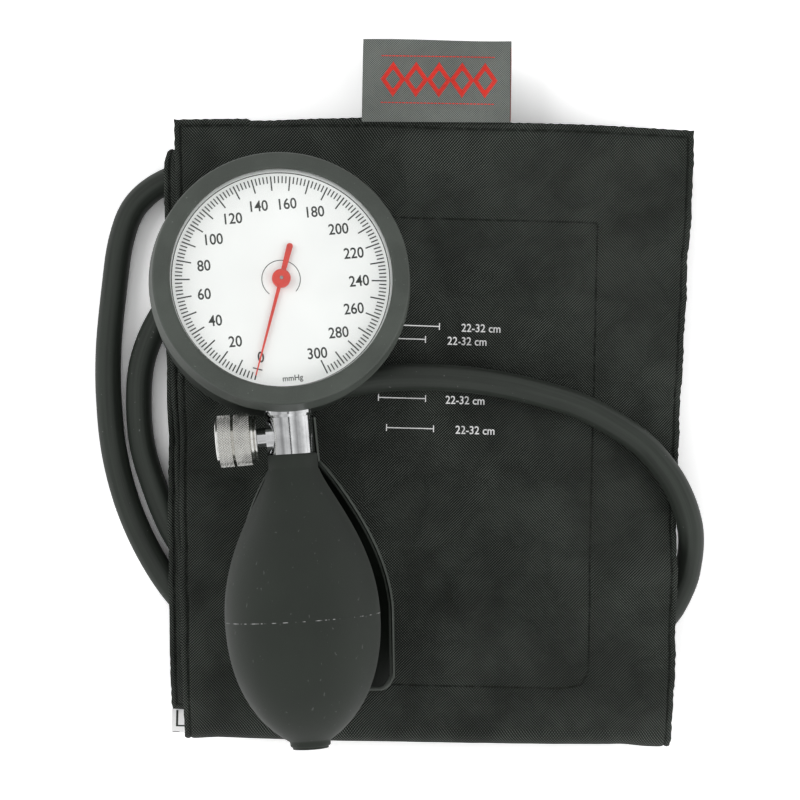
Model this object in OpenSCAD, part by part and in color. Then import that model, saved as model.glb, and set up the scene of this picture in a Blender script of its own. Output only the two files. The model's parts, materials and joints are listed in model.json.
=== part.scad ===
// Palm-type aneroid blood pressure gauge with bulb, release valve, hose and folded arm cuff.
// Millimetres, +Z up. It lies as it is put down on a table: the table is z = 0, and the
// origin is under the middle of the object's plan.

/* [Gauge case] */
// Outer radius of the front ring
bezel_r = 34.4; // [33.5:0.1:37]
// Width of the front ring's face
face_w = 4.4; // [3.9:0.1:6]
// Whole depth of the gauge, back to front ring
gauge_depth = 28; // [27:0.5:32]
// Thickness of the case wall
case_wall = 2.4; // [1.8:0.1:3]
// Thickness of the case floor
case_floor = 2.5; // [2:0.1:3]
// Rounding of the rear edge of the case
case_round = 3; // [1:0.5:4]
// Depth of the skirt of the front ring
skirt_depth = 7.5; // [6:0.1:9]
// Rounding of the front ring
bezel_round = 1.2; // [0.4:0.1:1.3]
// Thickness of the clear front lens
lens_t = 1.1; // [0.8:0.1:1.5]
// Rise of the lens dome above its rim
lens_rise = 2.7; // [2.2:0.1:4]

/* [Dial and pointer] */
// Thickness of the dial plate
dial_t = 0.8; // [0.5:0.1:1.2]
// Thickness of the white ring round the dial
ring_t = 0.8; // [0.5:0.1:1.2]
// Width of the white ring
white_w = 2.85; // [2.5:0.05:4]
// Gap between the pointer's tip and the white ring
tip_gap = 2.15; // [1.5:0.05:7]
// Reach of the pointer's tail
pointer_tail = 9.9; // [6:0.1:14]
// Radius of the pointer's hub
hub_r = 2.46; // [2:0.02:3.5]
// Angle from six o'clock back to the zero mark
zero_angle = 20.1; // [15:0.1:30]

/* [Movement] */
// Gap between the pressure capsule and the nearest post of the case
capsule_room = 0.8; // [0.8:0.1:4.8]
// Height of the pressure capsule
capsule_h = 4.5; // [3.5:0.1:5]
// Thickness of the air manifold on the case floor
manifold_t = 2.6; // [2.4:0.1:3]
// Thickness of the base plate and of the top plate
plate_t = 0.9; // [0.6:0.1:1]
// Height of the pillars between the two plates
pillar_h = 10.3; // [10.2:0.1:10.6]
// Module of the sector's and the pinion's teeth
gear_module = 0.32; // [0.3:0.01:0.34]
// Number of teeth on the pinion
pinion_teeth = 12; // [11:1:13]
// Number of teeth on a full circle of the sector
sector_teeth = 96; // [90:1:100]
// Length of the rocker's lower arm
rocker_arm = 4; // [3.5:0.1:4.5]
// Height of the rocker's upper arm
rocker_rise = 7; // [6:0.1:7.2]
// Number of turns of the hairspring
spring_turns = 4; // [3:1:6]

/* [Neck and release valve] */
// Diameter of the chromed neck
neck_d = 12.1; // [11:0.1:12.6]
// Length of the chromed neck
neck_len = 10.2; // [9:0.1:14]
// Diameter of the spigot that the bulb is pushed onto
spigot_d = 9.6; // [8.6:0.1:10]
// Length of that spigot
spigot_len = 12; // [10:0.5:16]
// Diameter of the air bore through the neck
air_bore = 3; // [2:0.1:3.4]
// Diameter of the release knob
knob_d = 14.4; // [12:0.1:17]
// Length of the release knob
knob_len = 9.4; // [7:0.1:12]
// Number of grip teeth round the knob
knob_teeth = 48; // [30:1:60]
// Diameter of the stem between neck and knob
stem_d = 5; // [4.6:0.1:6]
// Diameter of the valve spindle
spindle_d = 3.9; // [3:0.1:3.9]

/* [Bulb] */
// Greatest radius of the rubber bulb
bulb_r = 20.7; // [18:0.1:21.5]
// Length of the rubber bulb
bulb_len = 77.8; // [74:0.1:84]
// Wall of the rubber bulb
bulb_wall = 2.5; // [1.8:0.1:3]
// Radius of the rubber collar at the neck
collar_r = 6.55; // [6.1:0.05:7]
// Radius of the inlet valve body in the bulb's end
intake_r = 3.6; // [3.2:0.1:4]

/* [Spoon] */
// Greatest half width of the spoon
spoon_half = 21.5; // [19:0.1:24]
// Length of the spoon from its screw
spoon_len = 74.3; // [70:0.1:80]
// Thickness of the spoon plate
spoon_t = 1.2; // [0.8:0.1:2]
// Depth of the spoon below the neck's axis
spoon_depth = 26; // [25:0.5:27]

/* [Hose] */
// Outer diameter of the rubber hose
hose_d = 7.3; // [6.5:0.1:7.5]
// Number of sides of the hose
hose_sides = 10; // [8:1:12]

/* [Cuff] */
// Width of the folded cuff at its upper hem
cuff_w = 143.7; // [135:0.1:150]
// Thickness of one ply of cloth
ply_t = 0.6; // [0.4:0.1:0.8]
// Half of the room between the two plies
ply_room = 0.7; // [0.65:0.05:1]
// Distance from one folded panel to the next
panel_step = 6.3; // [6:0.1:7]
// The same where the panels lie close
panel_close = 4.2; // [4.2:0.1:5]
// Half length of the folded stack, toward the bottom fold
fold_low = 90.5; // [88:0.5:92]
// Distance from the middle to the upper fold
fold_high = 65; // [63:0.5:67]
// Width of the hem
hem = 2.5; // [1.5:0.1:3]
// Thickness of the air bladder
bladder_t = 1; // [0.6:0.1:1.2]
// Length of the hook patch
patch_len = 131; // [120:1:134]
// Thickness of the hook patch and of the loop patch
patch_t = 1; // [0.6:0.1:1]

/* [Labels] */
// Width of the woven tag on the upper hem
tag_w = 41.4; // [30:0.1:50]
// Length of the woven tag
tag_len = 22.4; // [15:0.1:26]
// Width of the care label
care_w = 24; // [18:1:30]

/* [Hidden] */

$fn = 64;
eps = 0.01;
// Running clearance of a shaft in its bearing, and of one close face from another
fit = 0.05;
seat = 0.1;
clear = 0.3;

// Where the gauge, the neck and the cuff lie
gauge_tilt = [-9.06, 6.84, 5.2];
neck_at = [-37, -5, 45.7];
neck_turn = 5;
cuff_turn = -1;
cuff_shift = [-7.3, -1.8];

// Levels in the gauge, from its middle plane
back_z = -gauge_depth/2;
lip_z = gauge_depth/2;
floor_z = back_z + case_floor;
flange_t = 1;
rim_t = 1;
rim_z = lip_z - flange_t - rim_t;
ring_z = rim_z - ring_t;
dial_z = ring_z - dial_t;
manifold_z = floor_z + manifold_t;
capsule_gap = 0.5;
capsule_z = manifold_z + capsule_gap;
capsule_top = capsule_z + capsule_h;
foot_t = 0.5;
base_z = capsule_top + 1.1;
base_top = base_z + plate_t;
top_z = base_top + pillar_h;
top_top = top_z + plate_t;
skirt_z = lip_z - skirt_depth;

// Radii of the gauge
case_r = bezel_r - 1;
skirt_r = bezel_r - 1.3;
nose_r = skirt_r - seat;
bore_r = case_r - case_wall;
window_r = bezel_r - face_w;
dial_r = nose_r - 1.1;
lens_r = dial_r + seat;
ring_r = dial_r - white_w;
pointer_len = ring_r - tip_gap;
post_r = bore_r - 4;
post_d = 4.4;
plate_r = post_r - 3.5;
pillar_at = plate_r - 2.5;
capsule_at = [-6, 0];
capsule_r = post_r - post_d/2 - capsule_room + capsule_at[0];

// The gauge's middle, one case radius and a small gap from where the neck enters its wall
wall_gap = 0.4506;
gauge_at = neck_at - turn_gauge([-0.7722, -case_r - wall_gap, 0.0159]);

// The gear pair and the levers, seen from the front
pinion_r = gear_module*pinion_teeth/2;
sector_r = gear_module*sector_teeth/2;
pair_dir = 161.8;
sector_at = (pinion_r + sector_r)*[cos(pair_dir), sin(pair_dir)];
sector_swing = 40;
gear_z = top_z - 1.6;
gear_t = 0.8;
pinion_t = 1.4;
arbor_r = 0.5;
shaft_r = 0.6;
rocker_y = 4;
rocker_z = base_top + 1.6;
rocker_rest = -10.5;
rocker_from = -15;
rocker_to = -3;
upper_arm_x = -12.9;
lever_r = 3.8;
lever_dir = -20;

// Places along the neck, from the plane where it enters the case
seal_a = 0.5;
neck_a = 1;
neck_end = neck_a + neck_len;
release_a = neck_a + 5.3;
spigot_end = neck_end + spigot_len;
socket_d = 8;
boss_d = 12.4;
boss_face = neck_d/2 + 0.35;
stem_end = boss_face + 2.3;
ring_end = stem_end + 1;
knob_from = ring_end + 0.7;
knob_to = knob_from + knob_len;

// The bulb's axis
bulb_turn = 3.67;
bulb_rise = 1;

// Where the hose leaves the gauge and where it enters the cuff
elbow_g = [4.9, 6 - bore_r, back_z - 6.5];
elbow_turn = 8;
elbow_reach = 3.4;
port_at = [-45, 36, 3.7];
port_reach = 5.5;

// The hose's route: over the cuff, then on the table in a flat spiral
hose_over = [
    [-12.5, 4, 23.4], [-2, 4.5, 22.8], [9.5, 4, 21.2], [20.5, 2.5, 19.8], [31.5, 0, 19.2],
    [42.5, -3.5, 19], [52, -8.5, 17.9], [60, -14, 16.6], [65.5, -20, 15.9], [69.5, -26, 15.2],
    [72.5, -33, 13.9], [74, -39.5, 11], [74, -46.5, 7.4], [72.5, -54, 4.6]
];
hose_under_low = [
    [67.5, -63, 3.7], [58, -70.5, 3.7], [46.5, -75.5, 3.7], [31, -79, 3.7], [14, -80.5, 3.7],
    [-3, -81, 3.7], [-20, -80, 3.7], [-36, -77, 3.7], [-50, -72.5, 3.7], [-62, -65, 3.7]
];
hose_arc_outer = [
    [-71.5, -55, 3.7], [-79, -43, 3.7], [-84.5, -30, 3.7], [-88, -16, 3.7], [-89.5, -1, 3.7],
    [-89.5, 13, 3.7], [-88, 29, 3.7], [-86, 43, 3.7], [-82, 53, 3.7]
];
hose_under_loop = [
    [-74, 59.5, 3.7], [-64, 62, 3.7], [-53, 60.5, 3.7], [-42.5, 55, 3.7], [-32.5, 45.5, 3.7],
    [-25, 33.5, 3.7], [-19.5, 18, 3.7], [-17, 2.5, 3.7], [-18, -13, 3.7], [-21.5, -28, 3.7],
    [-28.5, -41, 3.7], [-38, -49.5, 3.7], [-49, -52.5, 3.7], [-59.5, -50.5, 3.7],
    [-67, -45, 3.7]
];
hose_arc_inner = [
    [-72, -37.5, 3.7], [-76.5, -26.5, 3.7], [-80, -14.5, 3.7], [-81, -2, 3.7], [-80, 9, 3.7]
];
hose_under_port = [[-76, 19.5, 3.7], [-69.5, 28.5, 3.7], [-60.5, 34.5, 3.7]];

// The cuff's edges, as pairs of height on the sheet and sideways place
right_top = [
    [76, 80.8], [62, 81], [50, 80.5], [40, 79.8], [20, 79.2], [-12, 78.1], [-38, 76.9], [-95, 77.2]
];
left_top = [[76, 80 - cuff_w], [-95, 86 - cuff_w]];
right_low = 74;
left_low = [[68, 76.5 - cuff_w], [-88, 81 - cuff_w]];
top_edge = 76;
low_edge = -88.3;
fold_r = 3.1;
patch_top = 51.5;
fold_steps = 4;
patch_rows = 9;
// How far the middle of the upper hem stands above its corners
top_bow = 1.3;
// Columns of the sheet: its hems, the middles of its side strips, and the patch between them
patch_left = -36;
patch_w = 90;
patch_cols = 6;
strip_left = -48;
strip_right = 65;

// How the cuff lies over the hose
hose_room = 1.1;
plateau = 13;
slope = 17;
flat_cut = 0.5;
droop_from = 39;
droop_run = 35;

// General functions
function clamp(t) = max(0, min(1, t));
function smooth(t) = let (u = clamp(t)) u*u*(3 - 2*u);
function mix(a, b, t) = a + (b - a)*t;
function unit(v) = v/norm(v);
function flat(path) = [for (p = path) [p[0], p[1]]];
function bezier(a, b, c, d, n) = [
    for (i = [0:n]) let (t = i/n, s = 1 - t) s*s*s*a + 3*s*s*t*b + 3*s*t*t*c + t*t*t*d
];
function arc(centre, r, from, to, n) = [
    for (i = [0:n]) centre + r*[cos(mix(from, to, i/n)), sin(mix(from, to, i/n))]
];
function spin_x(v, a) = [v[0], v[1]*cos(a) - v[2]*sin(a), v[1]*sin(a) + v[2]*cos(a)];
function spin_y(v, a) = [v[0]*cos(a) + v[2]*sin(a), v[1], -v[0]*sin(a) + v[2]*cos(a)];
function spin_z(v, a) = [v[0]*cos(a) - v[1]*sin(a), v[0]*sin(a) + v[1]*cos(a), v[2]];
function turn_gauge(v) =
    spin_z(spin_y(spin_x(v, gauge_tilt[0]), gauge_tilt[1]), gauge_tilt[2]);
function from_gauge(v) = gauge_at + turn_gauge(v);

// The hose from end to end
elbow_at = from_gauge(elbow_g);
elbow_dir = [cos(elbow_turn), sin(elbow_turn), 0];
hose_start = elbow_at + elbow_reach*elbow_dir;
hose_end = port_at - [port_reach, 0, 0];
hose_route = concat(
    [hose_start, hose_start + hose_d*elbow_dir], hose_over, hose_under_low, hose_arc_outer,
    hose_under_loop, hose_arc_inner, hose_under_port, [hose_end - [hose_d, 0, 0], hose_end]
);
// The stretches that the cuff lies on
buried = [
    flat(concat(hose_under_low, [hose_arc_outer[0]])),
    flat(concat([hose_arc_outer[len(hose_arc_outer) - 1]], hose_under_loop, [hose_arc_inner[0]])),
    flat(concat([hose_arc_inner[len(hose_arc_inner) - 1]], hose_under_port, [port_at]))
];

// Tube along a path, one ring of points on each of its points
function tangent(path, i) =
    unit(path[min(i + 1, len(path) - 1)] - path[max(i - 1, 0)]);
function tube_points(path, r, sides) = [
    for (i = [0:len(path) - 1])
        let (t = tangent(path, i), side = unit(cross([0, 0, 1], t)), up = cross(t, side))
        for (k = [0:sides - 1])
            path[i] + r*(cos(360*k/sides)*side + sin(360*k/sides)*up)
];
function tube_walls(rings, sides) = [
    for (i = [0:rings - 2])
        for (k = [0:sides - 1])
            let (n = (k + 1) % sides, a = i*sides, b = a + sides)
            for (f = [[a + k, b + k, b + n], [a + k, b + n, a + n]]) f
];
function tube_caps(rings, sides) = [
    for (k = [1:sides - 2])
        let (e = (rings - 1)*sides)
        for (f = [[0, k, k + 1], [e, e + k + 1, e + k]]) f
];
module tube(path, r, sides) {
    polyhedron(
        points = tube_points(path, r, sides),
        faces = concat(tube_walls(len(path), sides), tube_caps(len(path), sides)),
        convexity = 10
    );
}

// The cuff's middle surface, as a grid of points that every sheet of it shares
ply_half = ply_room + ply_t;
hose_lift = hose_d + hose_room;
function line_gap(p, a, b) =
    let (ab = b - a, t = clamp(((p - a)*ab)/(ab*ab))) norm(p - a - t*ab);
function path_gap(p, path) =
    min([for (i = [1:len(path) - 1]) line_gap(p, path[i - 1], path[i])]);
function hump(p) =
    smooth((plateau + slope - min([for (b = buried) path_gap(p, b)]))/slope);
function along(table, y) =
    let (a = table[0], b = table[len(table) - 1])
    len(table) == 2 ? mix(a[1], b[1], (y - a[0])/(b[0] - a[0])) : lookup(y, table);
// Height of the sheet at a level: 0 is the lowest panel, 2 the uppermost
function sheet_z(level, p) =
    let (
        h = hump(p),
        d = smooth((p[0] - droop_from)/droop_run),
        step = mix(panel_step, panel_close, h + d - h*d)
    )
    ply_half + max(0, (hose_lift + flat_cut)*h - flat_cut) + step*level;
// One row of the sheet: place along it, level, normal, and its two ends
function top_row(y) = [y, 2, 0, 1, along(left_top, y), along(right_top, y)];
function mid_row(y) =
    let (s = (y + fold_low)/(fold_low + fold_high))
    [y, 1, 0, -1,
     mix(along(left_top, -fold_low), along(left_low, fold_high), s),
     mix(along(right_top, -fold_low), right_low, s)];
function low_row(y) = [y, 0, 0, 1, along(left_low, y), right_low];
function low_fold_row(a) =
    [-fold_low - fold_r*sin(a), 1 + (1 + cos(a))/2, -sin(a), cos(a),
     along(left_top, -fold_low), along(right_top, -fold_low)];
function high_fold_row(a) =
    [fold_high + fold_r*sin(a), (1 + cos(a))/2, -sin(a), -cos(a),
     along(left_low, fold_high), right_low];
function steps(from, to, n) = [for (i = [0:n]) mix(from, to, i/n)];
fold_angles = [for (i = [1:fold_steps]) 180*i/(fold_steps + 1)];
// All three panels share the rows of the patch
patch_ys = steps(patch_top, patch_top - patch_len, patch_rows);
rows = concat(
    [for (y = concat([top_edge, top_edge - hem, fold_high], patch_ys, [-fold_low])) top_row(y)],
    [for (a = fold_angles) low_fold_row(a)],
    [mid_row(-fold_low)],
    [for (i = [patch_rows:-1:0]) mid_row(patch_ys[i])],
    [mid_row(fold_high)],
    [for (a = fold_angles) high_fold_row(a)],
    [for (y = concat([fold_high], patch_ys, [low_edge + hem, low_edge])) low_row(y)]
);
// Places across one row, from its left end to its right end
function columns(left, right) = concat(
    [left, left + hem, strip_left], steps(patch_left, patch_left + patch_w, patch_cols),
    [strip_right, right - hem, right]
);
last_row = len(rows) - 1;
last_col = len(columns(0, 1)) - 1;
patch_row = 3;
patch_col = 3;
mid_first = patch_row + patch_rows + 2 + fold_steps;
low_first = mid_first + patch_rows + 3 + fold_steps;
function cuff_to_table(x, y) =
    let (v = spin_z([x, y, 0], cuff_turn)) [v[0] + cuff_shift[0], v[1] + cuff_shift[1]];
function bow(row, x) =
    let (c = (x - row[4])/(row[5] - row[4]))
    row[1] < 2 ? 0 : 4*c*(1 - c)*top_bow*clamp((row[0] - fold_high)/(top_edge - fold_high));
sheet = [
    for (r = rows) [
        for (x = columns(r[4], r[5]))
            let (p = cuff_to_table(x, r[0] + bow(r, x)))
            [p[0], p[1], sheet_z(r[1], p)]
    ]
];
function sheet_point(i, j, off) =
    sheet[i][j] + off*spin_z([0, rows[i][2], rows[i][3]], cuff_turn);
function on_edge(i, j) = i == 0 || j == 0 || i == last_row || j == last_col;
// Faces of a sheet of m by n points: the far skin, the near skin and the rim. The middle panel
// runs the other way, so its squares are cut along their other diagonal.
function square(a, b, c, d, crossed) =
    crossed ? [[a, b, d], [b, c, d]] : [[a, b, c], [a, c, d]];
function skin(at, first, m, n, under) = [
    for (i = [0:m - 2])
        for (j = [0:n - 2])
            let (
                a = at + i*n + j, b = a + 1, c = b + n, d = a + n,
                crossed = first + i >= mid_first - 1 && first + i < mid_first + patch_rows + 3
            )
            for (f = square(a, b, c, d, crossed)) under ? [f[0], f[2], f[1]] : f
];
function rim(line, lift) = [
    for (k = [0:len(line) - 2])
        let (a = line[k], b = line[k + 1])
        for (f = [[a, a + lift, b + lift], [a, b + lift, b]]) f
];
function sheet_faces(first, m, n) =
    let (lift = m*n)
    concat(
        skin(0, first, m, n, true), skin(lift, first, m, n, false),
        rim([for (i = [0:m - 1]) i*n], lift),
        rim([for (i = [m - 1:-1:0]) i*n + n - 1], lift),
        rim([for (j = [n - 1:-1:0]) j], lift),
        rim([for (j = [0:n - 1]) (m - 1)*n + j], lift)
    );
// A piece of cloth between two offsets from the middle surface
module cloth(i0, i1, j0, j1, near, far) {
    m = i1 - i0 + 1;
    n = j1 - j0 + 1;
    polyhedron(
        points = [
            for (off = [near, far])
                for (i = [i0:i1])
                    for (j = [j0:j1]) sheet_point(i, j, off)
        ],
        faces = sheet_faces(i0, m, n),
        convexity = 10
    );
}
// A ply that closes on its neighbour at the hem; side is 1 outside, -1 inside
module ply(side) {
    m = last_row + 1;
    n = last_col + 1;
    near = side > 0 ? 0 : ply_t;
    polyhedron(
        points = [
            for (add = [near, ply_t - near])
                for (i = [0:last_row])
                    for (j = [0:last_col])
                        sheet_point(i, j, side*((on_edge(i, j) ? fit : ply_room) + add))
        ],
        faces = sheet_faces(0, m, n),
        convexity = 10
    );
}

// Involute teeth
pressure_angle = 20;
backlash = 0.05;
function involute(a) = tan(a)*180/PI - a;
function tooth(r, base, half, flip) =
    let (
        cosine = min(1, base/r),
        swing = half + involute(pressure_angle) - involute(acos(cosine))
    )
    r*[cos(flip*swing), sin(flip*swing)];
function turned(p, a) = [p[0]*cos(a) - p[1]*sin(a), p[0]*sin(a) + p[1]*cos(a)];
module teeth(pitch_r, count, head, foot, first, last) {
    base = pitch_r*cos(pressure_angle);
    half = 90/count - backlash/pitch_r*180/PI/2;
    radii = [pitch_r - foot, max(base, pitch_r - foot), pitch_r, pitch_r + head];
    polygon([
        for (k = [first:last])
            for (p = concat(
                [for (r = radii) tooth(r, base, half, -1)],
                [for (i = [3:-1:0]) tooth(radii[i], base, half, 1)]
            ))
                turned(p, k*360/count)
    ]);
}

// Frames of the gauge, the neck, the spoon and the bulb
module at_gauge() {
    translate(gauge_at) rotate(gauge_tilt) children();
}
module at_neck() {
    translate(neck_at) rotate([0, 0, neck_turn]) children();
}
module at_spoon() {
    at_neck() rotate([0, -5, 0]) children();
}
// Turned piece along the neck's axis, from a to b
module along_neck(a, b, r1, r2 = 0) {
    translate([0, -a, 0]) rotate([90, 0, 0])
        cylinder(h = b - a, r1 = r1, r2 = r2 > 0 ? r2 : r1);
}
// Turned piece along the release valve's axis, from a to b away from the neck
module along_release(a, b, r1, r2 = 0) {
    translate([-a, -release_a, 0]) rotate([0, -90, 0])
        cylinder(h = b - a, r1 = r1, r2 = r2 > 0 ? r2 : r1);
}
module at_release(a) {
    translate([-a, -release_a, 0]) rotate([0, -90, 0]) children();
}
// The bulb's frame: z runs from the rubber edge to the far end
module at_bulb() {
    at_neck() translate([0, -neck_end, 0])
        rotate([90 - bulb_rise, 0, bulb_turn - neck_turn]) children();
}
module pipe(h, outer, inner) {
    difference() {
        cylinder(h = h, r = outer);
        translate([0, 0, -1]) cylinder(h = h + 2, r = inner);
    }
}
module at_posts() {
    for (a = [60, 180, 300]) rotate(a) translate([post_r, 0]) children();
}
module at_pillars() {
    for (a = [0, 120, 240]) rotate(a) translate([pillar_at, 0]) children();
}

// Gauge case with its posts for the movement
screw_r = 0.8;
module gauge_case() {
    color("#2b2c2d")
    difference() {
        union() {
            at_gauge() {
                rotate_extrude($fn = 96) polygon(concat(
                    [[0, back_z]],
                    arc([case_r - case_round, back_z + case_round], case_round, -90, 0, 6),
                    [[case_r, skirt_z - seat], [nose_r, skirt_z - seat],
                     [nose_r, lip_z - flange_t - seat], [lens_r, lip_z - flange_t - seat],
                     [lens_r, dial_z], [bore_r, dial_z], [bore_r, floor_z], [0, floor_z]]
                ));
                at_posts() translate([0, 0, floor_z - eps])
                    cylinder(h = base_z - floor_z + eps, d = post_d);
            }
            at_neck() along_neck(-2.4, seal_a, boss_d/2);
        }
        at_neck() along_neck(-8, 2, socket_d/2 + fit);
        at_gauge() {
            translate([elbow_g[0], elbow_g[1], back_z - 1])
                cylinder(h = case_floor + 2, r = pipe_r + fit);
            at_posts() translate([0, 0, base_z - 5.5]) cylinder(h = 8, r = screw_r + fit);
        }
    }
}

module bezel_ring() {
    color("#2f3031")
    at_gauge() rotate_extrude($fn = 96) polygon(concat(
        [[skirt_r, skirt_z], [bezel_r, skirt_z]],
        arc([bezel_r - bezel_round, lip_z - bezel_round], bezel_round, 0, 90, 5),
        [[window_r + 0.3, lip_z], [window_r, lip_z - 0.3], [window_r, lip_z - flange_t],
         [skirt_r, lip_z - flange_t]]
    ));
}

// Domed front: rim under the ring's flange and two shells of revolution
dome_r = window_r - 0.5;
function dome(r, base, rise) =
    let (ball = (dome_r*dome_r + rise*rise)/(2*rise))
    [r, base + rise - ball + sqrt(ball*ball - r*r)];
module lens() {
    color("#e8f0f2", 0.35)
    at_gauge() rotate_extrude($fn = 96) polygon(concat(
        [for (r = steps(0, dome_r, 10)) dome(r, rim_z, lens_rise + rim_t - lens_t)],
        [[dial_r, rim_z], [dial_r, rim_z + rim_t]],
        [for (r = steps(dome_r, 0, 10)) dome(r, rim_z + rim_t, lens_rise)]
    ));
}

module dial_ring() {
    color("#f4f4f0")
    at_gauge() translate([0, 0, ring_z]) pipe(ring_t, dial_r, ring_r, $fn = 96);
}

module dial_plate() {
    color("#fbfbf8")
    at_gauge() translate([0, 0, dial_z]) difference() {
        cylinder(h = dial_t, r = dial_r, $fn = 96);
        translate([0, 0, -1]) cylinder(h = dial_t + 2, r = arbor_r + clear);
    }
}

// Pointer, drawn along +x and turned to the zero mark
needle_t = 0.3;
needle_z = ring_z + 0.5;
hub_z = ring_z + clear;
hub_t = 1.7;
needle_w = 1.04;
tip_w = 0.3;
tail_w = [1.2, 1.65];
module pointer() {
    color("#d7261e")
    at_gauge() rotate(-90 - zero_angle) difference() {
        union() {
            translate([0, 0, hub_z]) cylinder(h = hub_t - 0.4, r = hub_r);
            translate([0, 0, hub_z + hub_t - 0.4])
                cylinder(h = 0.4, r1 = hub_r, r2 = hub_r - 0.4);
            translate([0, 0, needle_z]) linear_extrude(needle_t) union() {
                polygon([[0, -needle_w/2], [pointer_len, -tip_w/2], [pointer_len, tip_w/2],
                         [0, needle_w/2]]);
                polygon([[0, -tail_w[0]/2], [0, tail_w[0]/2],
                         [-pointer_tail + tail_w[1]/2, tail_w[1]/2],
                         [-pointer_tail + tail_w[1]/2, -tail_w[1]/2]]);
                translate([-pointer_tail + tail_w[1]/2, 0]) circle(d = tail_w[1], $fn = 24);
            }
        }
        translate([0, 0, hub_z - 1]) cylinder(h = hub_t + 0.6, r = arbor_r);
    }
}

// Arbor with the pinion and the hairspring's collet
spring_z = base_top + 4;
spring_h = 1.2;
collet_r = 1.2;
module pinion_arbor() {
    color("#c9a24e")
    at_gauge() {
        translate([0, 0, base_z]) cylinder(h = hub_z + hub_t - 0.4 - base_z, r = arbor_r);
        translate([0, 0, top_z - 0.3 - pinion_t]) linear_extrude(pinion_t) rotate(pair_dir)
            teeth(pinion_r, pinion_teeth, gear_module, 1.35*gear_module, 0, pinion_teeth - 1);
        translate([0, 0, spring_z]) cylinder(h = spring_h, r = collet_r);
    }
}

// Hairspring: a flat strip wound outward from the collet to its stud on the base plate
spring_in = collet_r + seat;
spring_out = 5;
strip_t = 0.12;
stud_r = 0.7;
function spiral(off) = [
    for (i = [0:20*spring_turns])
        let (r = mix(spring_in, spring_out, i/(20*spring_turns)) + off)
        r*[cos(18*i), sin(18*i)]
];
module hairspring() {
    color("#b9bcc0")
    at_gauge() translate([0, 0, spring_z]) linear_extrude(spring_h) polygon(concat(
        spiral(0), [for (i = [20*spring_turns:-1:0]) spiral(strip_t)[i]]
    ));
}

// Sector: hub, lever with its pin, two spokes and the toothed rim
sector_head = 0.23;
sector_rim = sector_r - 2;
tooth_step = 360/sector_teeth;
fan_from = pair_dir - 180 - sector_swing - 4;
fan_to = pair_dir - 180 + 4;
lever_pin_r = 0.5;
module sector_gear() {
    color("#c9a24e")
    at_gauge() translate([sector_at[0], sector_at[1], 0]) {
        translate([0, 0, base_z]) cylinder(h = top_top - base_z, r = shaft_r);
        translate([0, 0, gear_z]) linear_extrude(gear_t) {
            circle(r = 2.2);
            difference() {
                union() {
                    polygon(concat(
                        [[0, 0]], arc([0, 0], sector_r - 1.2*gear_module, fan_from, fan_to, 16)
                    ));
                    rotate(pair_dir - 180 + tooth_step/2)
                        teeth(sector_r, sector_teeth, sector_head, 1.25*gear_module, -12, 0);
                }
                circle(r = 1.5);
                intersection() {
                    circle(r = sector_rim - 0.2, $fn = 96);
                    polygon(concat(
                        [turned([3.4, 0], (fan_from + fan_to)/2)],
                        arc([0, 0], sector_rim + 4, fan_from + 10, fan_to - 10, 4)
                    ));
                }
            }
            rotate(lever_dir) translate([0, -0.9]) square([lever_r + 0.9, 1.8]);
        }
        rotate(lever_dir) translate([lever_r, 0, gear_z - 1.5])
            cylinder(h = 1.5 + eps, r = lever_pin_r);
    }
}

// Rocker: shaft across the base plate, short arm over the capsule, tall arm to the sector
rocker_w = 1.6;
arm_t = 0.8;
module rocker() {
    color("#c9a24e")
    at_gauge() translate([0, rocker_y, rocker_z]) rotate([-rocker_rest, 0, 0]) {
        translate([rocker_from, 0, 0]) rotate([0, 90, 0])
            cylinder(h = rocker_to - rocker_from, r = shaft_r);
        translate([capsule_at[0] - rocker_w/2, -rocker_arm - 0.9, -arm_t/2])
            cube([rocker_w, rocker_arm + 0.9, arm_t]);
        translate([upper_arm_x - rocker_w/2, -arm_t/2, 0])
            cube([rocker_w, arm_t, rocker_rise]);
    }
}

// Push pin between the capsule and the rocker
pin_r = 0.8;
pin_top = rocker_z + rocker_arm*tan(rocker_rest) - arm_t/2/cos(rocker_rest) - seat;
module push_pin() {
    color("#b9bcc0")
    at_gauge() translate([capsule_at[0], capsule_at[1], 0]) rotate_extrude($fn = 32) polygon(
        concat(
            [[0, capsule_top + fit], [2.5, capsule_top + fit],
             [2.5, capsule_top + fit + foot_t], [pin_r, capsule_top + fit + foot_t]],
            arc([0, pin_top - pin_r], pin_r, 0, 90, 4)
        )
    );
}

// The capsule's two corrugated shells, brazed at their rims
shell_t = 0.3;
wave = 0.25;
wave_pitch = 3.2;
function wave_z(r) =
    r < 2.4 ? 0 : r < capsule_r - 2.5 ? wave*(1 - cos(360*(r - 2.4)/wave_pitch))
    : mix(wave, capsule_h/2 - shell_t, smooth((r - capsule_r + 2.5)/1.6));
function shell_side(off) = [
    for (r = concat(steps(0, capsule_r - 2.5, 30), steps(capsule_r - 2.1, capsule_r, 5)))
        [r, wave_z(r) + off]
];
module shell() {
    line = shell_side(0);
    back = shell_side(shell_t);
    rotate_extrude() polygon(concat(line, [for (i = [len(back) - 1:-1:0]) back[i]]));
}
module capsule_lower() {
    color("#c08a4a")
    at_gauge() translate([capsule_at[0], capsule_at[1], 0]) difference() {
        union() {
            translate([0, 0, capsule_z]) shell();
            translate([0, 0, manifold_z]) cylinder(h = capsule_gap + shell_t/2, r = 2.5);
        }
        translate([0, 0, manifold_z - 1]) cylinder(h = capsule_gap + 3, r = 1.2);
    }
}
module capsule_upper() {
    color("#c08a4a")
    at_gauge() translate([capsule_at[0], capsule_at[1], capsule_top]) mirror([0, 0, 1]) shell();
}

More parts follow.
